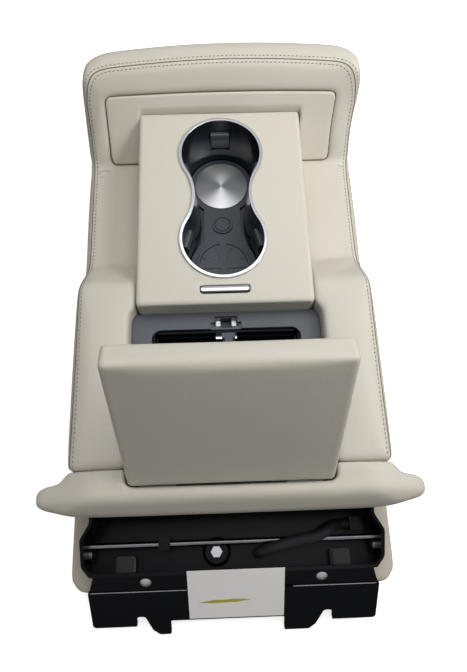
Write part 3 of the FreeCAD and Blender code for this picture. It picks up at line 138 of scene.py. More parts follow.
class Effects:
    """Shared effects, each a node group made once."""

    made: dict[str, bpy.types.NodeTree] = {}

    @classmethod
    def group(cls, name: str, fill: Fill) -> bpy.types.NodeTree:
        """Gives a group with a Vector input and one Value output.

        Args:
            name: the group's name.
            fill: builds the inside and returns the socket to put out.

        Returns:
            The node group.
        """
        if name not in cls.made:
            tree = bpy.data.node_groups.new(name, "ShaderNodeTree")
            tree.interface.new_socket("Vector", in_out="INPUT", socket_type="NodeSocketVector")
            tree.interface.new_socket("Value", in_out="OUTPUT", socket_type="NodeSocketFloat")
            graph = Graph(tree)
            start = graph.add("NodeGroupInput")
            result = fill(graph, start)
            graph.add("NodeGroupOutput", {0: result})
            cls.made[name] = tree
        return cls.made[name]

    @classmethod
    def leather_grain(cls) -> bpy.types.NodeTree:
        """Pebbled cells with finer pores.

        Returns:
            The node group; its value is a height.
        """
        def fill(graph: Graph, start: bpy.types.Node) -> bpy.types.NodeSocket:
            """Fills the group and gives the socket to put out."""
            place = start.outputs[0]
            cells = graph.add("ShaderNodeTexVoronoi", {"Vector": place, "Scale": 620.0},
                              feature="SMOOTH_F1")
            pores = graph.add("ShaderNodeTexNoise", {"Vector": place, "Scale": 1500.0, "Detail": 2.0})
            soft = graph.math("MULTIPLY", pores.outputs[0], 0.35)
            return graph.math("ADD", cells.outputs["Distance"], soft)
        return cls.group("leather_grain", fill)

    @classmethod
    def creases(cls) -> bpy.types.NodeTree:
        """Long faint wrinkles of a stretched cover.

        Returns:
            The node group; its value is a height.
        """
        def fill(graph: Graph, start: bpy.types.Node) -> bpy.types.NodeSocket:
            """Fills the group and gives the socket to put out."""
            stretch = graph.add("ShaderNodeVectorMath", {0: start.outputs[0], 1: (1.0, 0.45, 0.8)},
                                operation="MULTIPLY")
            noise = graph.add("ShaderNodeTexNoise", {"Vector": stretch.outputs[0], "Scale": 38.0,
                                                     "Detail": 3.0, "Distortion": 0.6})
            return noise.outputs[0]
        return cls.group("cover_creases", fill)

    @classmethod
    def tone(cls) -> bpy.types.NodeTree:
        """Slow drift of tone over a surface.

        Returns:
            The node group; its value runs from 0 to 1.
        """
        def fill(graph: Graph, start: bpy.types.Node) -> bpy.types.NodeSocket:
            """Fills the group and gives the socket to put out."""
            noise = graph.add("ShaderNodeTexNoise", {"Vector": start.outputs[0], "Scale": 11.0,
                                                     "Detail": 4.0})
            return graph.math("SMOOTH_MIN", noise.outputs[0], 0.9)
        return cls.group("tone_drift", fill)

    @classmethod
    def moulding(cls) -> bpy.types.NodeTree:
        """Fine grain of a moulded part.

        Returns:
            The node group; its value is a height.
        """
        def fill(graph: Graph, start: bpy.types.Node) -> bpy.types.NodeSocket:
            """Fills the group and gives the socket to put out."""
            noise = graph.add("ShaderNodeTexNoise", {"Vector": start.outputs[0], "Scale": 1900.0,
                                                     "Detail": 2.0})
            return noise.outputs[0]
        return cls.group("moulded_grain", fill)

    @classmethod
    def stroke(cls) -> bpy.types.NodeTree:
        """Marker stroke drawn across the label.

        Returns:
            The node group; its value is a mask.
        """
        def fill(graph: Graph, start: bpy.types.Node) -> bpy.types.NodeSocket:
            """Fills the group and gives the socket to put out."""
            parts = graph.add("ShaderNodeSeparateXYZ", {0: start.outputs[0]})
            along = graph.math("ABSOLUTE", graph.math("SUBTRACT", parts.outputs[0], -0.010))
            rough = graph.add("ShaderNodeTexNoise", {"Vector": start.outputs[0], "Scale": 160.0})
            bend = graph.math("MULTIPLY", graph.math("SUBTRACT", rough.outputs[0], 0.5), 0.0016)
            line = graph.math("SUBTRACT", parts.outputs[1], graph.math("MULTIPLY", parts.outputs[0], 0.03))
            off = graph.math("ABSOLUTE", graph.math("ADD", graph.math("ADD", line, 0.2777), bend))
            width = graph.math("MULTIPLY", graph.math("SUBTRACT", 0.028, along), 0.10)
            width = graph.math("MINIMUM", width, 0.0016)
            return graph.math("GREATER_THAN", width, off)
        return cls.group("marker_stroke", fill)

    @classmethod
    def reflection_wedges(cls) -> bpy.types.NodeTree:
        """Two opposite wedges about the origin, broken by fine rings: the mask of a painted bow-tie
        reflection.

        Returns:
            The node group; its value is a mask.
        """
        def fill(graph: Graph, start: bpy.types.Node) -> bpy.types.NodeSocket:
            """Fills the group and gives the socket to put out."""
            parts = graph.add("ShaderNodeSeparateXYZ", {0: start.outputs[0]})
            across = graph.math("MULTIPLY", parts.outputs[0], parts.outputs[0])
            along = graph.math("MULTIPLY", parts.outputs[1], parts.outputs[1])
            round_sum = graph.math("ADD", graph.math("ADD", across, along), 1e-8)
            share = graph.math("POWER", graph.math("DIVIDE", along, round_sum), 2.2)
            reach = graph.math("SQRT", round_sum)
            rings = graph.add("ShaderNodeTexNoise", {"Vector": reach, "Scale": 2600.0})
            marks = graph.math("MULTIPLY", graph.math("SUBTRACT", rings.outputs[0], 0.5), 0.35)
            return graph.math("ADD", share, graph.math("MULTIPLY", marks, share))
        return cls.group("painted_reflection_wedges", fill)

    @classmethod
    def wrap(cls) -> bpy.types.NodeTree:
        """Edges of tape wound round a loom.

        Returns:
            The node group; its value is a height.
        """
        def fill(graph: Graph, start: bpy.types.Node) -> bpy.types.NodeSocket:
            """Fills the group and gives the socket to put out."""
            wave = graph.add("ShaderNodeTexWave",
                             {"Vector": start.outputs[0], "Scale": 42.0, "Distortion": 1.5},
                             wave_type="BANDS", bands_direction="DIAGONAL", wave_profile="SAW")
            return wave.outputs[1]
        return cls.group("tape_wrap", fill)


class Grain(Enum):
    """Reliefs that a finish can use for its bump."""

    LEATHER = "leather_grain"
    MOULDED = "moulded_grain"
    TAPE = "tape_wrap"

    def group(self) -> bpy.types.NodeTree:
        """Gives the relief's node group."""
        makers = {Grain.LEATHER: Effects.leather_grain, Grain.MOULDED: Effects.moulding,
                  Grain.TAPE: Effects.wrap}
        return makers[self]()


@dataclass(frozen=True)
class Finish:
    """A surface's look.

    Attributes:
        name: the material's name.
        colour: main colour, linear.
        drift: how much darker the tone drifts, 0 to 1.
        roughness: mean roughness.
        metallic: 1 for bare metal.
        specular: specular level.
        sheen: strength of the soft edge glow of cloth and leather.
        bump: node group for the relief.
        relief: bump strength.
        wrinkle: strength of long creases.
        spun: anisotropy of a turned metal.
    """

    name: str
    colour: tuple[float, float, float]
    drift: float = 0.1
    roughness: float = 0.5
    metallic: float = 0.0
    specular: float = 0.5
    sheen: float = 0.0
    bump: Optional[Grain] = None
    relief: float = 0.0
    wrinkle: float = 0.0
    spun: float = 0.0

    def colours(self, graph: Graph, place: bpy.types.NodeSocket) -> bpy.types.NodeSocket:
        """Builds the colour.

        Args:
            graph: the material's graph.
            place: coordinates.

        Returns:
            The colour's socket.
        """
        tone = graph.effect(Effects.tone(), place)
        dark = tuple(c * (1.0 - self.drift) for c in self.colour)
        return graph.blend(tone, (*dark, 1.0), (*self.colour, 1.0))

    def material(self) -> bpy.types.Material:
        """Gives the material, made once.

        Returns:
            The material.
        """
        title = self.name + "_look"
        found = bpy.data.materials.get(title)
        if found:
            return found
        made = bpy.data.materials.new(title)
        made.use_nodes = True
        made.diffuse_color = (*self.colour, 1.0)
        graph = Graph(made.node_tree)
        shader = made.node_tree.nodes["Principled BSDF"]
        place = graph.add("ShaderNodeTexCoord").outputs["Object"]
        made.node_tree.links.new(self.colours(graph, place), shader.inputs["Base Color"])
        values = {"Roughness": self.roughness, "Metallic": self.metallic,
                  "Specular IOR Level": self.specular, "Sheen Weight": self.sheen,
                  "Sheen Roughness": SHEEN_ROUGHNESS, "Anisotropic": self.spun}
        for name, value in values.items():
            shader.inputs[name].default_value = value
        if self.spun:
            turn = graph.add("ShaderNodeTangent", direction_type="RADIAL", axis="Z")
            made.node_tree.links.new(turn.outputs[0], shader.inputs["Tangent"])
        self.emboss(graph, place, shader)
        return made

    def emboss(self, graph: Graph, place: bpy.types.NodeSocket, shader: bpy.types.Node) -> None:
        """Joins the relief to the shader's normal.

        Args:
            graph: the material's graph.
            place: coordinates.
            shader: the material's shader.
        """
        normal = None
        if self.wrinkle:
            height = graph.effect(Effects.creases(), place)
            inputs = {"Strength": self.wrinkle, "Distance": CREASE_DEPTH, "Height": height}
            normal = graph.add("ShaderNodeBump", inputs).outputs[0]
        if self.bump:
            height = graph.effect(self.bump.group(), place)
            inputs = {"Strength": self.relief, "Distance": GRAIN_DEPTH, "Height": height}
            if normal:
                inputs["Normal"] = normal
            normal = graph.add("ShaderNodeBump", inputs).outputs[0]
        if normal:
            graph.tree.links.new(normal, shader.inputs["Normal"])


@dataclass(frozen=True)
class LabelPaper(Finish):
    """Paper with a marker stroke across it.

    Attributes:
        ink: the stroke's colour, linear.
    """

    ink: tuple[float, float, float] = (0.50, 0.42, 0.05)

    def colours(self, graph: Graph, place: bpy.types.NodeSocket) -> bpy.types.NodeSocket:
        """Adds the stroke to the paper's colour.

        Args:
            graph: the material's graph.
            place: coordinates.

        Returns:
            The colour's socket.
        """
        paper = super().colours(graph, place)
        mark = graph.effect(Effects.stroke(), place)
        return graph.blend(mark, paper, (*self.ink, 1.0))


@dataclass(frozen=True)
class SpunMetalPaintedReflection(Finish):
    """Turned metal with a painted bow-tie reflection: bright wedges along one diameter, painted shade
    across it.

    Attributes:
        shade: painted shade across that diameter, linear; the main colour is the painted reflection along
            it.
        middle: the plate's middle along the shared frame, metres.
    """

    shade: tuple[float, float, float] = (0.15, 0.155, 0.165)
    middle: float = 0.1854988

    def colours(self, graph: Graph, place: bpy.types.NodeSocket) -> bpy.types.NodeSocket:
        """Paints a bow-tie reflection fanning out from the plate's middle, with fine turning marks.

        Args:
            graph: the material's graph.
            place: coordinates.

        Returns:
            The colour's socket.
        """
        shift = graph.add("ShaderNodeVectorMath", {0: place, 1: (0.0, self.middle, 0.0)},
                          operation="SUBTRACT")
        # The wedges' mask paints the reflection's bright diameter.
        reflection_wedges = graph.effect(Effects.reflection_wedges(), shift.outputs[0])
        return graph.blend(reflection_wedges, (*self.shade, 1.0), (*self.colour, 1.0))


LEATHER = Finish("beige_leather", (0.605, 0.575, 0.497), 0.05, 0.48, specular=0.42, sheen=0.06,
                 bump=Grain.LEATHER, relief=0.16, wrinkle=0.10)
LEATHER_FIRM = Finish("beige_leather_firm", (0.605, 0.575, 0.497), 0.03, 0.46, specular=0.42, sheen=0.04,
                      bump=Grain.LEATHER, relief=0.14)
# Darker copy of the body leather for the underside: painted shade.
LEATHER_UNDER_SHADED = Finish("beige_leather_under_shaded", (0.55, 0.50, 0.42), 0.06, 0.5, specular=0.4, sheen=0.05,
                       bump=Grain.LEATHER, relief=0.16, wrinkle=0.08)
# Dark tubes along the body's seam and the nose panel's gap: painted shadow.
PAINTED_SEAM_SHADE = Finish("seam_shadow", (0.17, 0.145, 0.105), 0.2, 0.8, specular=0.1)
# Dark colour of the crease tubes: painted shade in the creases.
CREASE_SHADE = Finish("leather_crease_shadow", (0.30, 0.27, 0.21), 0.2, 0.7, specular=0.2)
THREAD = Finish("sewing_thread", (0.30, 0.255, 0.19), 0.15, 0.6, specular=0.2)
CHROME = Finish("bright_trim", (0.48, 0.49, 0.52), 0.10, 0.16, 1.0)
GLOSS = Finish("gloss_black", (0.010, 0.012, 0.018), 0.2, 0.16, specular=0.4)
# Near-black rings at the mat's grooves: painted shadow.
GROOVE_SHADOW = Finish("mat_groove_shadow", (0.012, 0.013, 0.017), 0.2, 0.7, specular=0.1)
# Lighter copy of the mat rubber for the ribs: painted highlight.
RIB_HIGHLIGHT = Finish("mat_rib", (0.085, 0.094, 0.112), 0.15, 0.45, bump=Grain.MOULDED, relief=0.10)
RUBBER = Finish("mat_rubber", (0.050, 0.057, 0.073), 0.15, 0.48, bump=Grain.MOULDED, relief=0.10)
# The plate's bright colour and its shade paint a fixed bow-tie reflection.
SPUN_PAINTED_REFLECTION = SpunMetalPaintedReflection("spun_plate", (0.86, 0.86, 0.87), 0.06, 0.42, 1.0, spun=0.5)
FRAME = Finish("frame_plastic", (0.060, 0.069, 0.088), 0.12, 0.42, bump=Grain.MOULDED, relief=0.12)
CARRIER = Finish("carrier_plastic", (0.004, 0.0045, 0.006), 0.2, 0.22, specular=0.06)
# Light grey tubes on the black skirt's step and rim: painted highlight.
EDGE_HIGHLIGHT = Finish("painted_edge_highlight", (0.42, 0.42, 0.44), 0.6, 0.3, specular=0.4)
WHITE = Finish("white_plastic", (0.82, 0.82, 0.79), 0.04, 0.35)
STEEL = Finish("plated_steel", (0.26, 0.26, 0.27), 0.12, 0.30, 1.0)
RIVET = Finish("rivet_metal", (0.34, 0.34, 0.33), 0.25, 0.42, 1.0)
DARK_STEEL = Finish("dark_steel", (0.15, 0.15, 0.16), 0.3, 0.24, 1.0)
FELT = Finish("felt", (0.045, 0.043, 0.044), 0.3, 0.95, specular=0.15, sheen=0.2,
              bump=Grain.MOULDED, relief=0.6)
TAPE = Finish("loom_tape", (0.010, 0.010, 0.012), 0.3, 0.7, specular=0.25, bump=Grain.TAPE, relief=0.5)
PAPER = LabelPaper("label_paper", (0.97, 0.96, 0.94), 0.07, 0.6, specular=0.3)


class Mesh:
    """Small jobs on mesh objects."""

    @staticmethod
    def points(obj: bpy.types.Object) -> np.ndarray:
        """Reads the vertices.

        Args:
            obj: a mesh object.

        Returns:
            An array of places.
        """
        flat = np.zeros(len(obj.data.vertices) * 3)
        obj.data.vertices.foreach_get("co", flat)
        return flat.reshape(-1, 3)

    @staticmethod
    def normals(obj: bpy.types.Object) -> np.ndarray:
        """Reads the vertex normals.

        Args:
            obj: a mesh object.

        Returns:
            An array of unit vectors.
        """
        flat = np.zeros(len(obj.data.vertices) * 3)
        obj.data.vertex_normals.foreach_get("vector", flat)
        return flat.reshape(-1, 3)

    @staticmethod
    def move(obj: bpy.types.Object, places: np.ndarray) -> None:
        """Moves an object's vertices to new places."""
        obj.data.vertices.foreach_set("co", places.ravel())
        obj.data.update()

    @staticmethod
    def settle(obj: bpy.types.Object) -> None:
        """Turns an object's modifiers into plain geometry.

        Args:
            obj: a mesh object.
        """
        graph = bpy.context.evaluated_depsgraph_get()
        baked = bpy.data.meshes.new_from_object(obj.evaluated_get(graph))
        obj.modifiers.clear()
        obj.data = baked

    @staticmethod
    def build(name: str, verts: Sequence, faces: Sequence, finish: Finish, body: str,
              slot: Slot) -> bpy.types.Object:
        """Makes a smooth mesh piece that rides on a body.

        Args:
            name: the piece's name.
            verts: places.
            faces: corner numbers.
            finish: its look.
            body: the body it moves with.
            slot: the record's slot; not used.

        Returns:
            The new object.
        """
        data = bpy.data.meshes.new(name)
        data.from_pydata([tuple(v) for v in verts], [], faces)
        data.polygons.foreach_set("use_smooth", [True] * len(data.polygons))
        data.materials.append(finish.material())
        made = bpy.data.objects.new(name, data)
        bpy.context.scene.collection.objects.link(made)
        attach(made, body)
        LOG.info("%s: %d faces", name, len(faces))
        return made


@dataclass
class Cover:
    """A padded cover made from a CAD solid.

    Attributes:
        node: the CAD node it stands for.
        voxel: mesh pitch, mm.
        swell: furthest that the padding pushes out, mm.
        relax: rounds of smoothing.
        finish: its look.
        body: the body it moves with.
        slot: the record's slot; not used.
        fill: how full the padding is; not used.
        hold: weight of pinning at each place, 0 to 1.
    """

    node: str
    voxel: float
    swell: float
    relax: int
    finish: Finish
    body: str = "body"
    slot: Slot = Slot.LEATHER
    fill: float = 0.7
    hold: Optional[Weigh] = None

    def build(self) -> bpy.types.Object:
        """Remeshes, swells and smooths the cover.

        Returns:
            The finished cover.
        """
        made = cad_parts[self.node].copy()
        made.data = made.data.copy()
        made.name = self.node + "_cover"
        made.parent = None
        for key in list(made.keys()):
            del made[key]
        bpy.context.scene.collection.objects.link(made)
        remesh = made.modifiers.new("remesh", "REMESH")
        remesh.mode = "VOXEL"
        remesh.voxel_size = self.voxel * MM
        Mesh.settle(made)
        self.smooth(made, self.relax)
        if self.swell:
            self.pressurise(made)
        made.data.materials.clear()
        made.data.materials.append(self.finish.material())
        made.data.polygons.foreach_set("use_smooth", [True] * len(made.data.polygons))
        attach(made, self.body)
        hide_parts(self.node)
        LOG.info("%s: %d faces", made.name, len(made.data.polygons))
        return made

    @staticmethod
    def smooth(obj: bpy.types.Object, rounds: int) -> None:
        """Rounds off the voxel steps.

        Args:
            obj: the cover.
            rounds: how often.
        """
        if rounds:
            smooth = obj.modifiers.new("smooth", "SMOOTH")
            smooth.factor = COVER_SMOOTHING
            smooth.iterations = rounds
            Mesh.settle(obj)

    def pressurise(self, obj: bpy.types.Object) -> None:
        """Swells the cover with a cloth simulation, held to a small movement.

        Args:
            obj: the cover.
        """
        rest = Mesh.points(obj)
        held = self.hold(rest * TO_MM) if self.hold else np.zeros(len(rest))
        group = obj.vertex_groups.new(name="held")
        for index in np.nonzero(held > PIN_FLOOR)[0]:
            group.add([int(index)], float(held[index]), "REPLACE")
        cloth = obj.modifiers.new("cloth", "CLOTH")
        cloth.settings.quality = 4
        cloth.settings.mass = 0.3
        cloth.settings.tension_stiffness = 18.0
        cloth.settings.compression_stiffness = 18.0
        cloth.settings.bending_stiffness = 2.0
        cloth.settings.use_pressure = True
        cloth.settings.uniform_pressure_force = 4.0
        cloth.settings.vertex_group_mass = "held"
        cloth.settings.effector_weights.gravity = 0.0
        cloth.collision_settings.use_collision = False
        cloth.point_cache.frame_end = CLOTH_FRAMES
        for step in range(1, CLOTH_FRAMES + 1):
            bpy.context.scene.frame_set(step)
        graph = bpy.context.evaluated_depsgraph_get()
        blown = bpy.data.meshes.new_from_object(obj.evaluated_get(graph))
        flat = np.zeros(len(blown.vertices) * 3)
        blown.vertices.foreach_get("co", flat)
        bpy.data.meshes.remove(blown)
        obj.modifiers.clear()
        bpy.context.scene.frame_set(1)
        shift = flat.reshape(-1, 3) - rest
        size = np.linalg.norm(shift, axis=1, keepdims=True)
        cap = self.swell * MM
        shift *= cap * np.tanh(size / cap) / np.maximum(size, 1e-9)
        Mesh.move(obj, rest + shift * (1.0 - held[:, None]))
        self.smooth(obj, LAST_SMOOTHING)


@dataclass
class Track:
    """A line on a cover, found by casting rays on it.

    Attributes:
        plan: places along the line, mm, in the part's own frame; z is where the ray starts.
        surface: the cover, or none for a line that needs no rays.
        cast: the rays' direction.
    """

    plan: list[Place]
    surface: Optional[bpy.types.Object] = None
    cast: Vector = field(default_factory=lambda: Vector((0.0, 0.0, -1.0)))

    def points(self, step: float) -> tuple[np.ndarray, np.ndarray]:
        """Walks along the line.

        Args:
            step: distance between points, mm.

        Returns:
            Places and normals on the surface, evenly spaced.
        """
        spots, sides = self.follow() or self.land()
        run = np.concatenate([[0.0], np.cumsum(np.linalg.norm(np.diff(spots, axis=0), axis=1))])
        marks = np.arange(0.0, run[-1], step * MM)
        even = np.stack([np.interp(marks, run, spots[:, k]) for k in range(3)], 1)
        out = np.stack([np.interp(marks, run, sides[:, k]) for k in range(3)], 1)
        return even, out / np.linalg.norm(out, axis=1, keepdims=True)

    def land(self) -> tuple[np.ndarray, np.ndarray]:
        """Casts the line on its surface.

        Returns:
            Places and normals where the rays land.
        """
        data = self.surface.data
        tree = BVHTree.FromPolygons([v.co for v in data.vertices], [p.vertices for p in data.polygons])
        hits = [tree.ray_cast(at(*place), self.cast) for place in self.plan]
        landed = [h for h in hits if h[0] is not None]
        return np.array([h[0] for h in landed]), np.array([h[1] for h in landed])

    def follow(self) -> Optional[tuple[np.ndarray, np.ndarray]]:
        """Gives a line that needs no rays; here none, as this one is cast on its surface."""
        return None

    def tube(self, name: str, radius: float, sink: float, finish: Finish, body: str) -> bpy.types.Object:
        """Lays a thin tube along the line; its finish paints a shadow or a highlight there.

        Args:
            name: the piece's name.
            radius: mm.
            sink: how deep its middle lies, mm.
            finish: its look.
            body: the body it moves with.

        Returns:
            The tube.
        """
        spots, sides = self.points(TUBE_STEP)
        ahead = np.gradient(spots, axis=0)
        ahead /= np.linalg.norm(ahead, axis=1, keepdims=True)
        across = np.cross(ahead, sides)
        across /= np.linalg.norm(across, axis=1, keepdims=True)
        rings = TUBE_SIDES
        verts: list[np.ndarray] = []
        for spot, side, cross in zip(spots - sides * sink * MM, sides, across):
            for k in range(rings):
                turn = 2.0 * math.pi * k / rings
                verts.append(spot + (cross * math.cos(turn) + side * math.sin(turn)) * radius * MM)
        faces: list[tuple[int, ...]] = []
        for near in range(0, (len(spots) - 1) * rings, rings):
            for k in range(rings):
                after = (k + 1) % rings
                faces.append((near + k, near + after, near + rings + after, near + rings + k))
        faces.append(tuple(reversed(range(rings))))
        faces.append(tuple(range(len(verts) - rings, len(verts))))
        return Mesh.build(name, verts, faces, finish, body, Slot.LEATHER)

    def stitches(self, name: str, length: float, gap: float, radius: float, finish: Finish,
                 body: str) -> bpy.types.Object:
        """Sews a row of stitches along the line.

        Args:
            name: the piece's name.
            length: of one stitch, mm.
            gap: between stitches, mm.
            radius: of the thread, mm.
            finish: its look.
            body: the body it moves with.

        Returns:
            The row, as one piece.
        """
        spots, sides = self.points(STITCH_STEP)
        stride = int((length + gap) / STITCH_STEP)
        span = int(length / STITCH_STEP)
        rings = TUBE_SIDES
        verts: list[np.ndarray] = []
        faces: list[tuple[int, ...]] = []
        for first in range(0, len(spots) - span, stride):
            start, end = spots[first], spots[first + span]
            side = sides[first + span // 2]
            ahead = (end - start) / np.linalg.norm(end - start)
            cross = np.cross(ahead, side)
            base = len(verts)
            for share, width in STITCH_SHAPE:
                middle = (start + end) / 2.0 + ahead * share * length * MM
                middle = middle - side * (1.0 - width) * radius * MM * STITCH_DIP
                for k in range(rings):
                    turn = 2.0 * math.pi * k / rings
                    reach = cross * math.cos(turn) + side * math.sin(turn)
                    verts.append(middle + reach * radius * width * MM)
            last = base + (len(STITCH_SHAPE) - 1) * rings
            for near in range(base, last, rings):
                for k in range(rings):
                    after = (k + 1) % rings
                    faces.append((near + k, near + rings + k, near + rings + after, near + after))
            faces.append(tuple(base + k for k in range(rings)))
            faces.append(tuple(last + k for k in reversed(range(rings))))
        return Mesh.build(name, verts, faces, finish, body, Slot.LEATHER)


@dataclass
class SlopeLine(Track):
    """A line drawn flat on the nose's slope: across, and up the slope from its foot.

    Attributes:
        foot: where the slope starts, mm.
        base: height of its foot, mm.
        slope: degrees.
        lift: height off the slope, mm.
    """

    foot: float = 405.0
    base: float = 101.0
    slope: float = 55.7
    lift: float = 0.0

    def follow(self) -> Optional[tuple[np.ndarray, np.ndarray]]:
        """Lays the line on the slope.

        Returns:
            Places and normals.
        """
        turn = math.radians(self.slope)
        up = Vector((0.0, -math.sin(turn), math.cos(turn)))
        along, rise = math.cos(turn), math.sin(turn)
        flat = [at(x, self.foot + v * along, self.base + v * rise) for x, v, _ in self.plan]
        spots = [spot + up * self.lift * MM for spot in flat]
        return np.array(spots), np.array([up] * len(spots))


@dataclass
class FlatLine(Track):
    """A line whose places are given outright, with its upper side up."""

    def follow(self) -> Optional[tuple[np.ndarray, np.ndarray]]:
        """Takes the line as it is and gives its places and normals."""
        spots = [at(*place) for place in self.plan]
        return np.array(spots), np.array([(0.0, 0.0, 1.0)] * len(spots))

    @classmethod
    def circle(cls, middle: float, radius: float, height: float) -> "FlatLine":
        """Draws a ring round a middle on the cups' middle line, all in mm."""
        turns = np.linspace(0.0, 2.0 * math.pi, 73)
        return cls([(radius * math.cos(a), middle + radius * math.sin(a), height) for a in turns])


@dataclass
class SoftBody:
    """The leather body: main cover, nose panel, underside and flange, with their seams.

    Attributes, all in mm:
        bow: how far the nose's ends lie back from its middle.
        seam_half: half width of the body's seam.
        seam_crown: where the seam crosses the nose.
        seam_corner: radius of its corners.
        stitch_inset: from the seam to its stitches.
        seam_rear: where the seam starts.
        nose_row: how far from its crossing the nose's own stitches start.
        widen: how far the nose spreads at each end.
        lean: how far the nose leans to the right.
        lift: how far its crest rises.
        tilt: how much further it rises at its right end.
        corner_fall: how far its corners fall back.
        nose_top: height at which the seam's plan is moulded.
        roll_run: length of the flange's rolled edge.
        roll_in: how far that edge is drawn in.
        roll_drop: how far that edge drops.
        panel_half: half width of the nose panel.
        panel_low: its lower edge, up the slope.
        panel_high: its upper edge, up the slope.
        panel_corner: radius of its corners.
        panel_inner: where its lower edge meets the block.
        wrinkles: plans of the creases beside the nose, drawn as dark tubes of painted crease shadow.
    """

    bow: float = 11.0
    seam_half: float = 150.0
    seam_crown: float = 471.0
    seam_corner: float = 20.0
    stitch_inset: float = 3.4
    seam_rear: float = 46.0
    nose_row: float = 40.0
    widen: float = 1.4
    lean: float = 3.6
    lift: float = 1.0
    tilt: float = 5.0
    corner_fall: float = 9.0
    nose_top: float = 197.0
    roll_run: float = 26.0
    roll_in: float = 4.5
    roll_drop: float = 9.0
    panel_half: float = 128.3
    panel_low: float = 2.7
    panel_high: float = 82.3
    panel_corner: float = 5.0
    panel_inner: float = 92.0
    wrinkles: tuple[tuple[Place, ...], ...] = (
        ((-146.0, 397.0, RAY_TOP), (-138.0, 400.0, RAY_TOP), (-131.0, 399.0, RAY_TOP)),
        ((-143.0, 391.0, RAY_TOP), (-136.0, 392.0, RAY_TOP)),
        ((146.0, 398.0, RAY_TOP), (139.0, 400.0, RAY_TOP)),
    )

    def hold(self, places: np.ndarray) -> np.ndarray:
        """Pins the main cover where it meets the other pieces.

        Args:
            places: vertices, mm in the shared frame.

        Returns:
            Pin weights.
        """
        x, y, z = np.abs(places[:, 0]), places[:, 1] + ORIGIN_Y, places[:, 2]
        foot = 1.0 - smooth_step(32.0, 50.0, z)
        rear = 1.0 - smooth_step(44.0, 56.0, y)
        well = (1.0 - smooth_step(98.0, 106.0, x)) * (1.0 - smooth_step(441.0, 450.0, y))
        return np.clip(np.maximum(np.maximum(foot, rear), well), 0.0, 1.0)

    @staticmethod
    def hold_under(places: np.ndarray) -> np.ndarray:
        """Pins the underside's top and bottom."""
        z = places[:, 2]
        return np.maximum(smooth_step(24.0, 29.0, z), 1.0 - smooth_step(1.0, 6.0, z))

    @staticmethod
    def hold_flange(places: np.ndarray) -> np.ndarray:
        """Pins the flange where it meets the body."""
        return smooth_step(38.0, 42.0, places[:, 1] + ORIGIN_Y)

    def mould(self, places: np.ndarray) -> np.ndarray:
        """Gives the nose its bowed front, fallen corners and slight lean.

        Args:
            places: mm in the part's own frame.

        Returns:
            The moved places.
        """
        x, y, z = places[:, 0], places[:, 1], places[:, 2]
        share = np.clip(x / 150.0, -1.1, 1.1)
        past = np.clip((np.abs(x) - 118.0) / 33.0, 0.0, 1.2)
        back = smooth_step(425.0, 487.0, y) * smooth_step(50.0, 110.0, z)
        crown = smooth_step(60.0, 160.0, z) * smooth_step(430.0, 480.0, y)
        flare = smooth_step(100.0, 190.0, z) * smooth_step(375.0, 480.0, y)
        rise = self.lift + self.tilt * (share + 1.0) / 2.0 - 2.0 * share ** 2 - 3.0 * past ** 2
        return np.stack([
            x + flare * (self.widen * share + self.lean),
            y - back * (self.bow * share ** 2 + self.corner_fall * past ** 2),
            z + crown * rise,
        ], 1)

    def shape_nose(self, piece: bpy.types.Object) -> None:
        """Moulds the nose's end of a cover or of a seam on it."""
        shift = np.array([0.0, ORIGIN_Y, 0.0])
        Mesh.move(piece, (self.mould(Mesh.points(piece) / MM + shift) - shift) * MM)

    def roll_under(self, cover: bpy.types.Object) -> None:
        """Rolls the flange's rear edge further under.

        Args:
            cover: the flange's cover.
        """
        places = Mesh.points(cover)
        edge = 1.0 - smooth_step(-2.0, self.roll_run, places[:, 1] / MM + ORIGIN_Y)
        places[:, 1] += edge * self.roll_in * MM
        places[:, 2] -= edge ** 2 * self.roll_drop * smooth_step(104.0, 125.0, places[:, 2] / MM) * MM
        Mesh.move(cover, places)

    def outline(self, inset: float, start: float) -> list[Place]:
        """Plan of the seam: up one side, round the nose and back down the other.

        Args:
            inset: how far inside the seam, mm.
            start: where the sides start, mm.

        Returns:
            Places to cast rays from.
        """
        half = self.seam_half - inset
        top = self.seam_crown - inset
        turn = self.seam_corner
        left = [(-half, y, RAY_TOP) for y in np.arange(start, top - turn, 2.0)]
        arc = [(-half + turn - turn * math.cos(a), top - turn + turn * math.sin(a), RAY_TOP)
               for a in np.linspace(0.0, math.pi / 2.0, 20)]
        cross = [(x, top, RAY_TOP) for x in np.arange(-half + turn, 0.0, 2.0)]
        run = left + arc + cross
        run += [(-x, y, z) for x, y, z in reversed(run)]
        moved = self.mould(np.array([(x, y, self.nose_top) for x, y, _ in run]))
        return [(x, y, RAY_TOP) for x, y, _ in moved]

    def panel_outline(self) -> list[Place]:
        """Edge of the nose panel, from the block on one side round to the block on the other.

        Returns:
            Places across and up the slope.
        """
        turn, half = self.panel_corner, self.panel_half
        low = [(-x, self.panel_low, 0.0) for x in np.arange(self.panel_inner, half - turn, 3.0)]
        first = [(-half + turn - turn * math.sin(a), self.panel_low + turn - turn * math.cos(a), 0.0)
                 for a in np.linspace(0.0, math.pi / 2.0, 10)]
        side = [(-half, v, 0.0) for v in np.arange(self.panel_low + turn, self.panel_high - turn, 3.0)]
        last = [(-half + turn - turn * math.cos(a), self.panel_high - turn + turn * math.sin(a), 0.0)
                for a in np.linspace(0.0, math.pi / 2.0, 10)]
        top = [(x, self.panel_high, 0.0) for x in np.arange(-half + turn, 0.0, 3.0)]
        run = low + first + side + last + top
        return run + [(-x, v, 0.0) for x, v, _ in reversed(run)]

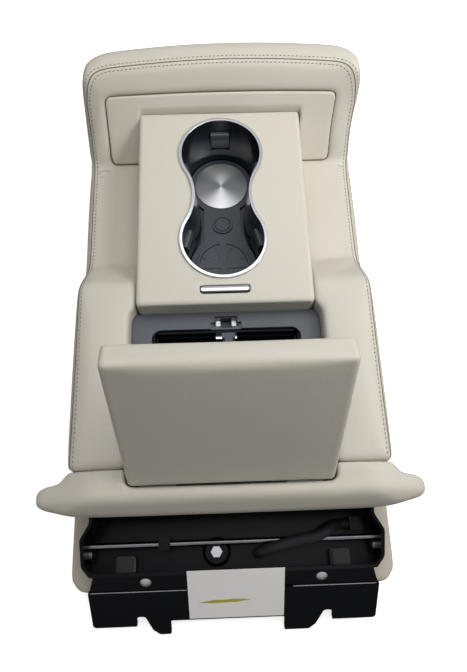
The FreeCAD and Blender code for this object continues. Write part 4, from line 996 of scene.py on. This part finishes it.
    def build(self) -> None:
        """Makes the covers and sews them."""
        body = Cover("top_cushion", 4.0, 2.2, 4, LEATHER, hold=self.hold, fill=0.75).build()
        self.shape_nose(body)
        self.shape_nose(Cover("nose_panel", 2.0, 0.0, 2, LEATHER_FIRM, fill=0.5).build())
        Cover("underside_cushion", 5.0, 2.0, 4, LEATHER_UNDER_SHADED, slot=Slot.LEATHER_SHADE,
              hold=self.hold_under).build()
        self.roll_under(Cover("rear_flange", 3.0, 1.6, 4, LEATHER, hold=self.hold_flange).build())
        # The seam and the panel's gap get dark tubes of painted shadow.
        seam = Track(self.outline(0.0, self.seam_rear), body)
        seam.tube("body_seam_shadow", 0.6, 0.1, PAINTED_SEAM_SHADE, "body")
        gap = SlopeLine(self.panel_outline(), lift=-0.3)
        self.shape_nose(gap.tube("panel_gap_shadow", 0.7, 0.0, PAINTED_SEAM_SHADE, "body"))
        # Each crease is a sunk tube whose dark colour is painted shade.
        for number, wrinkle in enumerate(self.wrinkles):
            Track(list(wrinkle), body).tube("wrinkle_%d" % number, 0.5, 0.25, CREASE_SHADE, "body")
        inner = self.outline(self.stitch_inset, self.seam_rear)
        outer = self.outline(-self.stitch_inset, self.seam_rear)
        front = [place for place in outer if place[1] > self.seam_crown - self.nose_row]
        for name, plan in (("body_stitches", inner), ("nose_stitches", front)):
            Track(plan, body).stitches(name, 3.0, 1.9, 0.6, THREAD, "body")


@dataclass
class CupBlock:
    """The leather-wrapped block with its cups and release bar.

    Attributes, all in mm:
        near: the near cup's middle.
        boss: middle of the mat's boss.
        mat_top: height of the mat.
        boss_top: height of the boss.
        boss_rings: radii of the dark rings of painted groove shadow at the boss's foot and on its top.
        hoops: radii of the two dark rings of painted groove shadow in the near cup.
        spoke: places along a rib, out from the near cup's middle.
    """

    near: float = 278.0
    boss: float = 331.15
    mat_top: float = 85.8
    boss_top: float = 87.4
    boss_rings: tuple[float, float] = (11.9, 9.0)
    hoops: tuple[float, float] = (31.2, 27.8)
    spoke: tuple[float, ...] = (7.0, 16.0, 26.0)

    def build(self) -> None:
        """Makes the wrap and dresses the hard pieces."""
        Cover("console_cover", 2.0, 0.0, 2, LEATHER_FIRM, fill=0.9).build()
        dress(CHROME, "cup_bezel", "release_bar")
        dress(GLOSS, "cup_liner", "release_bezel")
        dress(RUBBER, "cup_mat", *[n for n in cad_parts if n.startswith("cup_finger_")])
        dress(SPUN_PAINTED_REFLECTION, "cup_plate")
        dress(CARRIER, "console_body")
        self.mat_painted_lines()

    def mat_painted_lines(self) -> None:
        """Draws dark rings of painted shadow for the mat's grooves, and ribs on the near cup's floor in a
        lighter colour of painted highlight.
        """
        groove_shadows = (
            ("boss", self.boss, self.boss_rings[0], self.mat_top),
            ("boss_inner", self.boss, self.boss_rings[1], self.boss_top),
            ("hoop", self.near, self.hoops[0], self.mat_top),
            ("hoop_inner", self.near, self.hoops[1], self.mat_top),
        )
        for name, middle, radius, height in groove_shadows:
            FlatLine.circle(middle, radius, height).tube("mat_shadow_ring_" + name, 0.55, 0.2, GROOVE_SHADOW, "body")
        # The ribs are lighter than the mat as a painted highlight.
        for number, turn in enumerate(np.radians(np.arange(22.5, 360.0, 45.0))):
            rib = [(r * math.cos(turn), self.near + r * math.sin(turn), self.mat_top) for r in self.spoke]
            FlatLine(rib).tube("mat_rib_%d" % number, 1.5, 0.9, RIB_HIGHLIGHT, "body")


@dataclass
class Store:
    """The lidded store with its latch.

    Attributes:
        lid_swell: furthest that the lid's padding pushes out, mm.
        lid_ease: width of the lid's cover as a share of its solid's, so that it clears the well.
    """

    lid_swell: float = 1.6
    lid_ease: float = 0.991

    def build(self) -> None:
        """Makes the lid's cover and dresses the hard pieces."""
        lid = Cover("lid_cushion", 1.9, self.lid_swell, 1, LEATHER, body="lid", fill=0.8,
                    hold=self.hold).build()
        Mesh.move(lid, Mesh.points(lid) * np.array([self.lid_ease, 1.0, 1.0]))
        dress(FRAME, "storage_frame", "lid_inner_panel", "lid_striker", "latch_housing")
        dress(CARRIER, "storage_bin", "storage_tray", "core_pan")
        dress(CHROME, "tray_pull")
        dress(WHITE, "latch_jaw_left", "latch_jaw_right")
        dress(STEEL, "hinge_screws", *[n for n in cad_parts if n.startswith("lid_hinge_")])

    @staticmethod
    def hold(places: np.ndarray) -> np.ndarray:
        """Pins the lid's cover near its sides, so that it clears the well."""
        return smooth_step(84.0, 94.0, np.abs(places[:, 0]))


@dataclass
class Carrier:
    """The moulded carrier and what it holds.

    Attributes:
        step: place along and height of the skirt's step, mm.
        rim: place along and height of its upper rim, mm.
    """

    step: tuple[float, float] = (-67.1, 48.1)
    rim: tuple[float, float] = (-51.2, 61.2)

    def build(self) -> None:
        """Dresses the mouldings, draws painted highlights along the skirt's step and rim, and felts the
        pads.
        """
        dress(CARRIER, "base_carrier", "rear_skirt", "rod_clip", "loom_grommet", "loom_connector",
              "bolt_seat")
        dress(RIVET, "carrier_rivets")
        dress(DARK_STEEL, "cross_rod", "pivot_bush_left", "pivot_bush_right")
        dress(STEEL, "centre_bolt")
        dress(PAPER, "paper_label")
        dress(TAPE, "wiring_loom")
        # Light tubes along the skirt's step and rim paint the highlight on those edges.
        edge_highlights = (
            ("left", -146.0, -44.0, self.step),
            ("right", 60.0, 146.0, self.step),
            ("rim", -140.0, 140.0, self.rim),
        )
        for name, start, end, place in edge_highlights:
            run = [(x, *place) for x in np.linspace(start, end, 24)]
            FlatLine(run).tube("skirt_highlight_" + name, 0.55, 0.1, EDGE_HIGHLIGHT, "body")
        for side in ("left", "right"):
            Cover("felt_pad_" + side, 1.2, 0.0, 3, FELT, slot=Slot.FELT, fill=0.3).build()


def dress(finish: Finish, *names: str) -> None:
    """Gives CAD nodes their look.

    Args:
        finish: the look.
        names: the nodes.
    """
    for name in names:
        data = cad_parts[name].data
        data.materials.clear()
        data.materials.append(finish.material())


@dataclass(frozen=True)
class Lamp:
    """A soft square lamp.

    Attributes:
        name: the lamp's name.
        place: metres.
        size: side of the lamp, metres.
        power: watts.
        aim: where it looks, metres.
        spread: width of its beam, degrees.
    """

    name: str
    place: Place
    size: float
    power: float
    aim: Place = (0.0, 0.0, 0.1)
    spread: float = 180.0

    def hang(self) -> None:
        """Puts the lamp in the scene."""
        data = bpy.data.lights.new(self.name, "AREA")
        data.size = self.size
        data.energy = self.power
        data.spread = math.radians(self.spread)
        lamp = bpy.data.objects.new(self.name, data)
        bpy.context.scene.collection.objects.link(lamp)
        lamp.location = self.place
        lamp.rotation_euler = (Vector(self.aim) - Vector(self.place)).to_track_quat("-Z", "Y").to_euler()


@dataclass
class Studio:
    """Floor, light and camera.

    Attributes:
        place: where the camera stands, metres.
        down: how far it looks down, degrees.
        yaw: how far it is turned to the right, degrees.
        roll: how far it is rolled, degrees.
        lens: mm.
        sensor: width of its film, mm.
        ambient: strength of the light all round.
        ambient_turn: how much stronger that is from the nose's side.
        floor_half: half the floor's side, metres.
        floor_drop: how far the floor lies below the part, metres.
        floor_glow: light that the floor shows to the camera alone.
        floor_bounce: grey of the floor as the part sees it.
        lamps: the lamps.
    """

    place: Place = (-0.00602, -0.2296, 0.70845)
    down: float = 70.302
    yaw: float = 3.634
    roll: float = 1.684
    lens: float = 32.14
    sensor: float = 36.0
    ambient: float = 0.31
    ambient_turn: float = 0.10
    floor_half: float = 4.0
    floor_drop: float = 0.0004
    floor_glow: float = 0.68
    floor_bounce: float = 0.25
    lamps: tuple[Lamp, ...] = (
        Lamp("key_light", (0.72, 0.04, 0.84), 0.45, 4.3),
        Lamp("overhead_light", (0.08, 0.20, 1.4), 1.0, 6.4),
        Lamp("nose_light", (0.45, -0.12, 0.72), 0.2, 0.19, (0.03, 0.27, 0.18), 60.0),
    )

    def build(self) -> None:
        """Sets the stage."""
        self.floor()
        self.world()
        for lamp in self.lamps:
            lamp.hang()
        self.camera()
        bpy.context.scene.view_settings.view_transform = "Standard"

    def floor(self) -> None:
        """Lays a floor that the camera sees as white and the part as grey."""
        size = self.floor_half
        corners = [(-size, -size, 0), (size, -size, 0), (size, size, 0), (-size, size, 0)]
        data = bpy.data.meshes.new("floor")
        data.from_pydata(corners, [], [(0, 1, 2, 3)])
        finish = Finish("floor_paper", (0.95, 0.95, 0.95), 0.0, 0.9, specular=0.0).material()
        graph = Graph(finish.node_tree)
        seen = finish.node_tree.nodes["Principled BSDF"]
        seen.inputs["Emission Color"].default_value = (1.0, 1.0, 1.0, 1.0)
        seen.inputs["Emission Strength"].default_value = self.floor_glow
        grey = (self.floor_bounce, self.floor_bounce, self.floor_bounce, 1.0)
        dim = graph.add("ShaderNodeBsdfPrincipled", {"Base Color": grey, "Roughness": 0.9})
        path = graph.add("ShaderNodeLightPath")
        mix = graph.add("ShaderNodeMixShader", {0: path.outputs["Is Camera Ray"], 1: dim.outputs[0],
                                                2: seen.outputs[0]})
        end = finish.node_tree.nodes["Material Output"]
        finish.node_tree.links.new(mix.outputs[0], end.inputs[0])
        data.materials.append(finish)
        floor = bpy.data.objects.new("floor", data)
        bpy.context.scene.collection.objects.link(floor)
        floor.location.z = -self.floor_drop

    def world(self) -> None:
        """Soft light all round, and plain white where the camera looks past the part."""
        world = bpy.data.worlds.new("studio")
        bpy.context.scene.world = world
        world.use_nodes = True
        graph = Graph(world.node_tree)
        world.node_tree.nodes.clear()
        path = graph.add("ShaderNodeLightPath")
        seen = graph.math("MAXIMUM", path.outputs["Is Camera Ray"], path.outputs["Is Glossy Ray"])
        seen = graph.math("MAXIMUM", seen, path.outputs["Is Transmission Ray"])
        sky = graph.add("ShaderNodeTexCoord").outputs["Generated"]
        ahead = graph.add("ShaderNodeSeparateXYZ", {0: sky}).outputs[1]
        level = graph.math("ADD", graph.math("MULTIPLY", ahead, self.ambient_turn), self.ambient)
        soft = graph.add("ShaderNodeBackground", {"Color": (1.0, 0.99, 0.97, 1.0), "Strength": level})
        white = graph.add("ShaderNodeBackground", {"Color": (1.0, 1.0, 1.0, 1.0), "Strength": 1.0})
        mix = graph.add("ShaderNodeMixShader", {0: seen, 1: soft.outputs[0], 2: white.outputs[0]})
        graph.add("ShaderNodeOutputWorld", {0: mix.outputs[0]})

    def camera(self) -> None:
        """Stands the camera where the photo was taken."""
        data = bpy.data.cameras.new("camera")
        data.lens = self.lens
        data.sensor_width = self.sensor
        data.dof.use_dof = False
        camera = bpy.data.objects.new("camera", data)
        bpy.context.scene.collection.objects.link(camera)
        down, yaw, roll = (math.radians(a) for a in (self.down, self.yaw, self.roll))
        ahead = Vector((math.sin(yaw) * math.cos(down), math.cos(yaw) * math.cos(down), -math.sin(down)))
        right = Vector((math.cos(yaw), -math.sin(yaw), 0.0))
        up = right.cross(ahead)
        across = math.cos(roll) * right + math.sin(roll) * up
        above = -math.sin(roll) * right + math.cos(roll) * up
        turn = Matrix((across, above, -ahead)).transposed().to_4x4()
        camera.matrix_world = Matrix.Translation(self.place) @ turn
        bpy.context.scene.camera = camera


def main() -> None:
    """Builds the armrest's looks and its studio."""
    logging.basicConfig(level=logging.INFO)
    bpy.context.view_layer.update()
    for piece in (SoftBody(), CupBlock(), Store(), Carrier(), Studio()):
        piece.build()
        LOG.info("built %s", type(piece).__name__)


if __name__ == "__main__":
    main()
